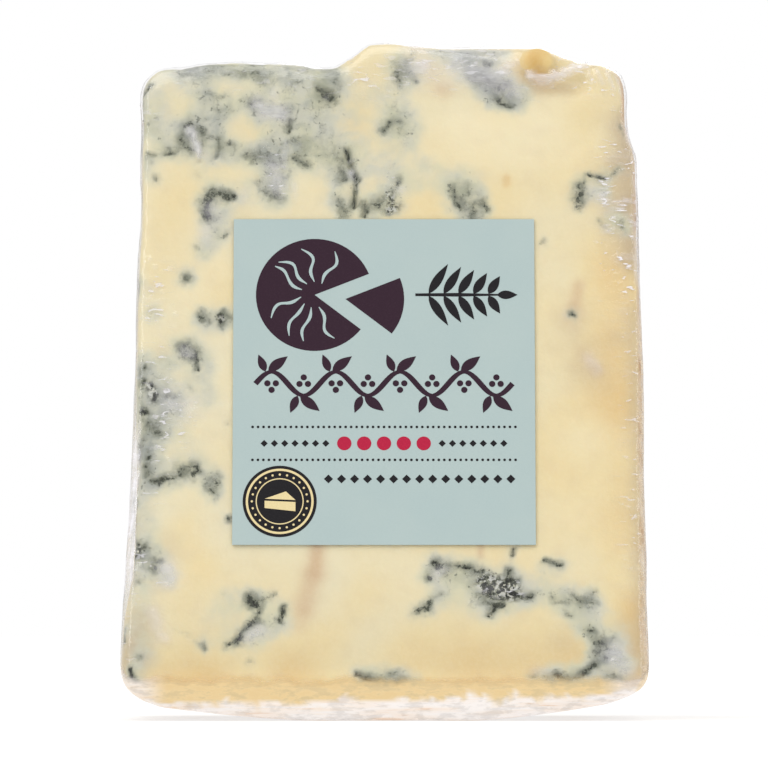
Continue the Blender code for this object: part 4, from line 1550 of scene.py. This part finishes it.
def build_label_sheet(place, material):
    """A thin closed sheet, cut square, lying on the film."""
    across, along = 44, 50
    bm = bmesh.new()
    base = -place.half_thickness - TOUCH_GAP_MM + SHEET_LIFT_MM
    sides = []
    for rise in (0.0, SHEET_MM):
        rows = []
        for j in range(along + 1):
            v = place.half_height * (2.0 * j / along - 1.0)
            row = []
            for i in range(across + 1):
                u = place.half_width * (2.0 * i / across - 1.0)
                row.append(bm.verts.new(place.point(u, v, base + rise + sheet_buckle(u, v))))
            rows.append(row)
        sides.append(rows)
    back, front = sides
    for j in range(along):
        for i in range(across):
            bm.faces.new((front[j][i], front[j][i + 1], front[j + 1][i + 1], front[j + 1][i]))
            bm.faces.new((back[j][i], back[j + 1][i], back[j + 1][i + 1], back[j][i + 1]))
    for i in range(across):
        bm.faces.new((back[0][i], back[0][i + 1], front[0][i + 1], front[0][i]))
        bm.faces.new((front[-1][i], front[-1][i + 1], back[-1][i + 1], back[-1][i]))
    for j in range(along):
        bm.faces.new((front[j][0], front[j + 1][0], back[j + 1][0], back[j][0]))
        bm.faces.new((back[j][-1], back[j + 1][-1], front[j + 1][-1], front[j][-1]))
    bmesh.ops.recalc_face_normals(bm, faces=bm.faces)
    mesh = bpy.data.meshes.new("label_sheet")
    bm.to_mesh(mesh)
    bm.free()
    mesh.materials.append(material)
    return link_object("label_sheet", mesh)


# Outlines of the print, points (u, v) in mm from the label's centre.  An outline is a list of
# points, or a pair of such lists for a shape with a hole.


def arc(u, v, radius, start, end, steps):
    """Points along a circle from one angle to another, in degrees."""
    points = []
    for index in range(steps + 1):
        angle = math.radians(start + (end - start) * index / steps)
        points.append((u + radius * math.cos(angle), v + radius * math.sin(angle)))
    return points


def disc(u, v, radius, steps=48):
    return arc(u, v, radius, 0.0, 360.0, steps)[:-1]


def ring(u, v, outer, inner, steps=64):
    return disc(u, v, outer, steps), disc(u, v, inner, steps)


def bar(u, v, width, height):
    half_u, half_v = 0.5 * width, 0.5 * height
    return [
        (u - half_u, v - half_v),
        (u + half_u, v - half_v),
        (u + half_u, v + half_v),
        (u - half_u, v + half_v),
    ]


def leaf(u, v, length, width, degrees):
    """A pointed leaf from its stalk at (u, v)."""
    angle = math.radians(degrees)
    along = (math.cos(angle), math.sin(angle))
    steps = 9
    points = []
    for side in (1.0, -1.0):
        for index in range(steps):
            share = index / steps
            if side < 0.0:
                share = 1.0 - share
            wide = side * 0.5 * width * math.sin(math.pi * share**0.8)
            reach = length * share
            points.append(
                (u + along[0] * reach - along[1] * wide, v + along[1] * reach + along[0] * wide)
            )
    return points


def ribbon(points, widths):
    """A stroke along points with a width at each."""
    left, right = [], []
    for index, (u, v) in enumerate(points):
        before = points[max(0, index - 1)]
        after = points[min(len(points) - 1, index + 1)]
        run = (after[0] - before[0], after[1] - before[1])
        length = math.hypot(*run)
        side = (-run[1] / length, run[0] / length)
        half = 0.5 * widths[index]
        left.append((u + side[0] * half, v + side[1] * half))
        right.append((u - side[0] * half, v - side[1] * half))
    return right + left[::-1]


def add_ink(bm, place, outline, lift):
    """One printed shape as a very thin closed slab on the sheet."""
    base = -place.half_thickness - TOUCH_GAP_MM + SHEET_LIFT_MM + SHEET_MM + lift
    loops = outline if isinstance(outline, tuple) else (outline,)
    layers = []
    for rise in (-0.4 * INK_MM, INK_MM):
        layer = []
        for loop in loops:
            layer.append(
                [bm.verts.new(place.point(u, v, base + rise + sheet_buckle(u, v))) for u, v in loop]
            )
        layers.append(layer)
    low, high = layers
    if len(loops) == 1:
        bm.faces.new(high[0])
        bm.faces.new(low[0][::-1])
    count = len(loops[0])
    for index in range(count):
        after = (index + 1) % count
        for which, _ in enumerate(loops):
            wall = (low[which][index], low[which][after], high[which][after], high[which][index])
            bm.faces.new(wall if which == 0 else wall[::-1])
        if len(loops) == 2:
            bm.faces.new((high[0][index], high[0][after], high[1][after], high[1][index]))
            bm.faces.new((low[0][after], low[0][index], low[1][index], low[1][after]))


def build_ink(name, place, outlines, material, lift=0.0):
    """Shapes of one colour; each a hair higher than the last, so that none lie level."""
    bm = bmesh.new()
    for index, outline in enumerate(outlines):
        add_ink(bm, place, outline, lift + HAIR_MM * (index % 8))
    bmesh.ops.recalc_face_normals(bm, faces=bm.faces)
    mesh = bpy.data.meshes.new(name)
    bm.to_mesh(mesh)
    bm.free()
    mesh.materials.append(material)
    return link_object(name, mesh)


WHEEL_CENTRE = (-10.2, 13.2)
WHEEL_MM = 8.6
CUT_DEGREES = (-38.0, 22.0)
SLICE_SHIFT_MM = 4.6


def wheel_and_slice():
    """A cut cheese seen from above, with its slice drawn out to the right."""
    u, v = WHEEL_CENTRE
    start, end = CUT_DEGREES
    shapes = []
    body = arc(u, v, WHEEL_MM, end, 360.0 + start, 60)
    shapes.append([(u, v)] + body)
    middle = math.radians(0.5 * (start + end))
    shift = (SLICE_SHIFT_MM * math.cos(middle), SLICE_SHIFT_MM * math.sin(middle))
    piece = arc(u + shift[0], v + shift[1], WHEEL_MM, start, end, 16)
    shapes.append([(u + shift[0], v + shift[1])] + piece)
    return shapes


def wheel_marks():
    """Pale veins over the dark wheel: smooth strokes that bend out from the middle."""
    rng = random.Random(5)
    u, v = WHEEL_CENTRE
    strokes = []
    for turn in range(8):
        start = math.radians(58.0 + 33.0 * turn)
        bend = rng.uniform(-0.9, 0.9)
        wave = rng.uniform(0.05, 0.11)
        points, widths = [], []
        for step in range(15):
            share = step / 14
            reach = 2.0 + 5.3 * share
            angle = start + 0.35 * bend * share + wave * math.sin(7.0 * share)
            points.append((u + reach * math.cos(angle), v + reach * math.sin(angle)))
            widths.append(0.12 + 0.5 * math.sin(math.pi * share) * (0.8 + 0.3 * math.sin(9.0 * share)))
        strokes.append(ribbon(points, widths))
    return strokes


def vine(v, reach, rise, waves):
    """A waving stem with one leaf outside every bend and three berries inside it."""
    steps = 24 * waves
    stem, widths = [], []
    for index in range(steps + 1):
        share = index / steps
        swing = 2.0 * math.pi * waves * share
        stem.append((-reach + 2.0 * reach * share, v + 0.5 * rise * math.sin(swing)))
        widths.append(0.5 + 0.3 * abs(math.cos(swing)))
    shapes = [ribbon(stem, widths)]
    for index in range(2 * waves):
        up = 1.0 if index % 2 == 0 else -1.0
        u = -reach + 2.0 * reach * (index + 0.5) / (2 * waves)
        crest = v + up * 0.5 * rise
        shapes.append(leaf(u - 0.5, crest + up * 0.15, 3.6, 1.5, up * 38.0))
        shapes.append(leaf(u - 0.9, crest + up * 0.05, 2.8, 1.2, up * 112.0))
        for along, down in ((-0.62, 1.75), (0.62, 1.75), (0.0, 2.75)):
            shapes.append(disc(u + along, crest - up * down, 0.46, 20))
    return shapes


def sprig(u, v, length, leaves):
    """A straight sprig of paired leaves."""
    shapes = [ribbon([(u, v), (u + 0.5 * length, v), (u + length, v)], [0.4, 0.55, 0.25])]
    for index in range(leaves):
        at = u + length * (0.16 + 0.72 * index / (leaves - 1))
        size = 5.4 - 0.55 * index
        shapes.append(leaf(at, v + 0.15, size, 1.35, 58.0))
        shapes.append(leaf(at, v - 0.15, size, 1.35, -58.0))
    shapes.append(leaf(u + length - 0.2, v, 3.0, 1.3, 0.0))
    return shapes


BADGE_CENTRE = (-15.2, -18.3)
BADGE_MM = 5.4


def badge_lines():
    """Rings and a small slice of cheese inside the badge."""
    u, v = BADGE_CENTRE
    shapes = [ring(u, v, 4.95, 4.62), ring(u, v, 3.5, 3.34)]
    shapes.append([(u - 2.2, v - 1.0), (u + 2.3, v - 1.5), (u + 2.3, v - 0.1), (u - 2.2, v + 0.1)])
    shapes.append([(u - 2.2, v + 0.4), (u + 2.3, v + 0.2), (u + 0.9, v + 1.5)])
    for turn in range(24):
        angle = 2.0 * math.pi * turn / 24
        shapes.append(disc(u + 4.06 * math.cos(angle), v + 4.06 * math.sin(angle), 0.17, 10))
    return shapes


def row_tree(name, material):
    """Geometry Nodes: a row of equal flat pips along X."""
    tree = bpy.data.node_groups.new(name, "GeometryNodeTree")
    face = tree.interface
    face.new_socket("Geometry", in_out="INPUT", socket_type="NodeSocketGeometry")
    for label, kind, value in (
        ("Count", "NodeSocketInt", 10),
        ("Sides", "NodeSocketInt", 12),
        ("Pitch", "NodeSocketFloat", 1.0 * MM),
        ("Radius", "NodeSocketFloat", 0.2 * MM),
        ("Depth", "NodeSocketFloat", INK_MM * MM),
    ):
        face.new_socket(label, in_out="INPUT", socket_type=kind).default_value = value
    face.new_socket("Geometry", in_out="OUTPUT", socket_type="NodeSocketGeometry")
    nodes, links = tree.nodes, tree.links
    given = nodes.new("NodeGroupInput")
    step = nodes.new("ShaderNodeCombineXYZ")
    links.new(given.outputs["Pitch"], step.inputs["X"])
    line = nodes.new("GeometryNodeMeshLine")
    links.new(given.outputs["Count"], line.inputs["Count"])
    links.new(step.outputs[0], line.inputs["Offset"])
    pip = nodes.new("GeometryNodeMeshCylinder")
    links.new(given.outputs["Sides"], pip.inputs["Vertices"])
    links.new(given.outputs["Radius"], pip.inputs["Radius"])
    links.new(given.outputs["Depth"], pip.inputs["Depth"])
    placed = nodes.new("GeometryNodeInstanceOnPoints")
    links.new(line.outputs["Mesh"], placed.inputs["Points"])
    links.new(pip.outputs["Mesh"], placed.inputs["Instance"])
    real = nodes.new("GeometryNodeRealizeInstances")
    links.new(placed.outputs["Instances"], real.inputs["Geometry"])
    coat = nodes.new("GeometryNodeSetMaterial")
    coat.inputs["Material"].default_value = material
    links.new(real.outputs["Geometry"], coat.inputs["Geometry"])
    result = nodes.new("NodeGroupOutput")
    links.new(coat.outputs["Geometry"], result.inputs["Geometry"])
    return tree


def build_row(name, place, tree, u, v, count, pitch, sides, radius):
    """A row of pips centred on (u, v), laid on the sheet."""
    values = {
        "Count": count,
        "Sides": sides,
        "Pitch": pitch * MM,
        "Radius": radius * MM,
        "Depth": 1.4 * INK_MM * MM,
    }
    item = grown(name, bpy.data.meshes.new(name + "_start"), tree, values)
    item.data.shade_flat()
    base = -place.half_thickness - TOUCH_GAP_MM + SHEET_LIFT_MM + SHEET_MM
    start = u - 0.5 * pitch * (count - 1)
    for vert in item.data.vertices:
        at_u = start + vert.co.x / MM
        at_v = v + vert.co.y / MM
        lift = base + 0.3 * INK_MM + vert.co.z / MM + sheet_buckle(at_u, at_v)
        vert.co = place.point(at_u, at_v, lift)
    item.data.update()
    return item


def build_print(place):
    """The whole print: pictures, ornament, rules, pips and badge."""
    aubergine = printed("ink_aubergine", (48, 26, 41))
    black = printed("ink_black", (24, 22, 26))
    crimson = printed("ink_crimson", (178, 26, 62))
    gold = printed("ink_pale_gold", (226, 208, 158))
    ghost = printed("ink_paper_tone", (171, 189, 188))
    pieces = [
        build_ink("print_wheel", place, wheel_and_slice(), aubergine),
        build_ink("print_wheel_veins", place, wheel_marks(), ghost, 1.2 * INK_MM),
        build_ink("print_sprig", place, sprig(4.6, 13.2, 12.2, 5), black),
        build_ink("print_vine", place, vine(-0.4, 18.8, 3.6, 4), aubergine),
        build_ink("print_badge", place, [disc(*BADGE_CENTRE, BADGE_MM, 72)], black),
        build_ink("print_badge_lines", place, badge_lines(), gold, 1.2 * INK_MM),
    ]
    dots = row_tree("row_of_dots", black)
    pips = row_tree("row_of_pips", crimson)
    for index, v in enumerate((-7.0, -12.0)):
        pieces.append(build_row(f"print_rule_{index}", place, dots, 0.0, v, 49, 0.80, 10, 0.20))
    pieces.append(build_row("print_pips", place, pips, 0.0, -9.5, 5, 2.9, 28, 1.05))
    pieces.append(build_row("print_lozenges_left", place, dots, -13.0, -9.5, 7, 1.5, 4, 0.52))
    pieces.append(build_row("print_lozenges_right", place, dots, 13.0, -9.5, 7, 1.5, 4, 0.52))
    pieces.append(build_row("print_lozenges_low", place, dots, 5.2, -14.9, 15, 1.9, 4, 0.66))
    return pieces


# ---------------------------------------------------------------- studio


def build_floor(material):
    """A wide pale table top."""
    bm = bmesh.new()
    bmesh.ops.create_grid(bm, x_segments=24, y_segments=24, size=2.2)
    mesh = bpy.data.meshes.new("table_top")
    bm.to_mesh(mesh)
    bm.free()
    mesh.materials.append(material)
    return link_object("table_top", mesh)


def aim(item, target):
    direction = Vector(target) - item.location
    item.rotation_euler = direction.to_track_quat("-Z", "Y").to_euler()


def add_panel(name, location, target, width, height, power, colour=(1.0, 1.0, 1.0)):
    light = bpy.data.lights.new(name, "AREA")
    light.shape = "RECTANGLE"
    light.size = width
    light.size_y = height
    light.energy = power
    light.color = colour
    item = bpy.data.objects.new(name, light)
    bpy.context.scene.collection.objects.link(item)
    item.location = location
    aim(item, target)
    return item


SUN_STRENGTH = 1.15
SKY_STRENGTH = 0.68


def light_studio():
    """Even white surroundings, a broad key above the front, and soft fills at both sides."""
    scene = bpy.context.scene
    world = bpy.data.worlds.new("studio_white")
    world.use_nodes = True
    tree = world.node_tree
    shown = tree.nodes["Background"]
    shown.inputs["Color"].default_value = (1.0, 1.0, 1.0, 1.0)
    shown.inputs["Strength"].default_value = 1.0
    lit = tree.nodes.new("ShaderNodeBackground")
    lit.inputs["Color"].default_value = (1.0, 0.995, 0.985, 1.0)
    lit.inputs["Strength"].default_value = SKY_STRENGTH
    path = tree.nodes.new("ShaderNodeLightPath")
    mix = tree.nodes.new("ShaderNodeMixShader")
    tree.links.new(path.outputs["Is Camera Ray"], mix.inputs[0])
    tree.links.new(lit.outputs[0], mix.inputs[1])
    tree.links.new(shown.outputs[0], mix.inputs[2])
    tree.links.new(mix.outputs[0], tree.nodes["World Output"].inputs["Surface"])
    scene.world = world
    sun = bpy.data.lights.new("key", "SUN")
    sun.energy = SUN_STRENGTH
    sun.angle = math.radians(45.0)
    key = bpy.data.objects.new("key", sun)
    scene.collection.objects.link(key)
    key.location = (-0.25, -0.38, 1.1)
    aim(key, (0.0, 0.0, 0.05))
    add_panel("left_window", (-0.9, -0.7, 0.75), (0.0, 0.0, 0.05), 0.22, 0.5, 1.3)
    add_panel("right_window", (0.9, -0.6, 0.55), (0.0, 0.0, 0.05), 0.22, 0.5, 0.9)
    add_panel("back_window", (0.25, 1.0, 0.7), (0.0, 0.0, 0.05), 0.5, 0.5, 3.0)
    scene.view_settings.view_transform = "Standard"
    scene.view_settings.look = "None"


CAMERA_PLACE = (0.0, -1.2, 0.0186)
CAMERA_TARGET = (0.0, 0.0, 0.0495)
FIELD_MM = 113.8


def place_camera():
    camera = bpy.data.cameras.new("camera")
    camera.sensor_width = 36.0
    camera.clip_start = 0.01
    camera.clip_end = 50.0
    item = bpy.data.objects.new("camera", camera)
    bpy.context.scene.collection.objects.link(item)
    item.location = CAMERA_PLACE
    aim(item, CAMERA_TARGET)
    away = (Vector(CAMERA_TARGET) - Vector(CAMERA_PLACE)).length
    camera.lens = camera.sensor_width * away / (FIELD_MM * MM)
    bpy.context.scene.camera = item


# ---------------------------------------------------------------- assembly


def ride_all(pieces):
    for piece in pieces:
        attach(piece, "root")


def main():
    noise.seed_set(NOISE_SEED)
    solid = merged_solid("cheese_in_film")
    surface = Surface(solid)
    place = LabelPlace("label")
    cheese = build_cheese(solid, surface, veined_paste())
    film = build_film(solid, surface, stretched_film())
    grains = scatter_over(
        "mould_grains",
        cheese,
        scatter_tree("mould_scatter", "mouldy", mould_grain()),
        {
            "Density": 1.5e6,
            "Least Size": 0.05 * MM,
            "Most Size": 0.17 * MM,
            "Unevenness": 0.20 * MM,
            "Seed": 3,
        },
    )
    crumbs = scatter_over(
        "curd_crumbs",
        cheese,
        scatter_tree("crumb_scatter", "crumbly", curd_crumb()),
        {
            "Density": 0.9e6,
            "Least Size": 0.06 * MM,
            "Most Size": 0.19 * MM,
            "Unevenness": 0.22 * MM,
            "Seed": 8,
        },
    )
    sheet = build_label_sheet(place, label_stock())
    prints = build_print(place)
    ride_all([cheese, grains, crumbs])
    ride_all([film])
    ride_all([sheet, *prints])
    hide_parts("cheese_in_film")
    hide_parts("cheese_in_film")
    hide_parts("label")
    build_floor(studio_floor())
    light_studio()
    place_camera()


main()
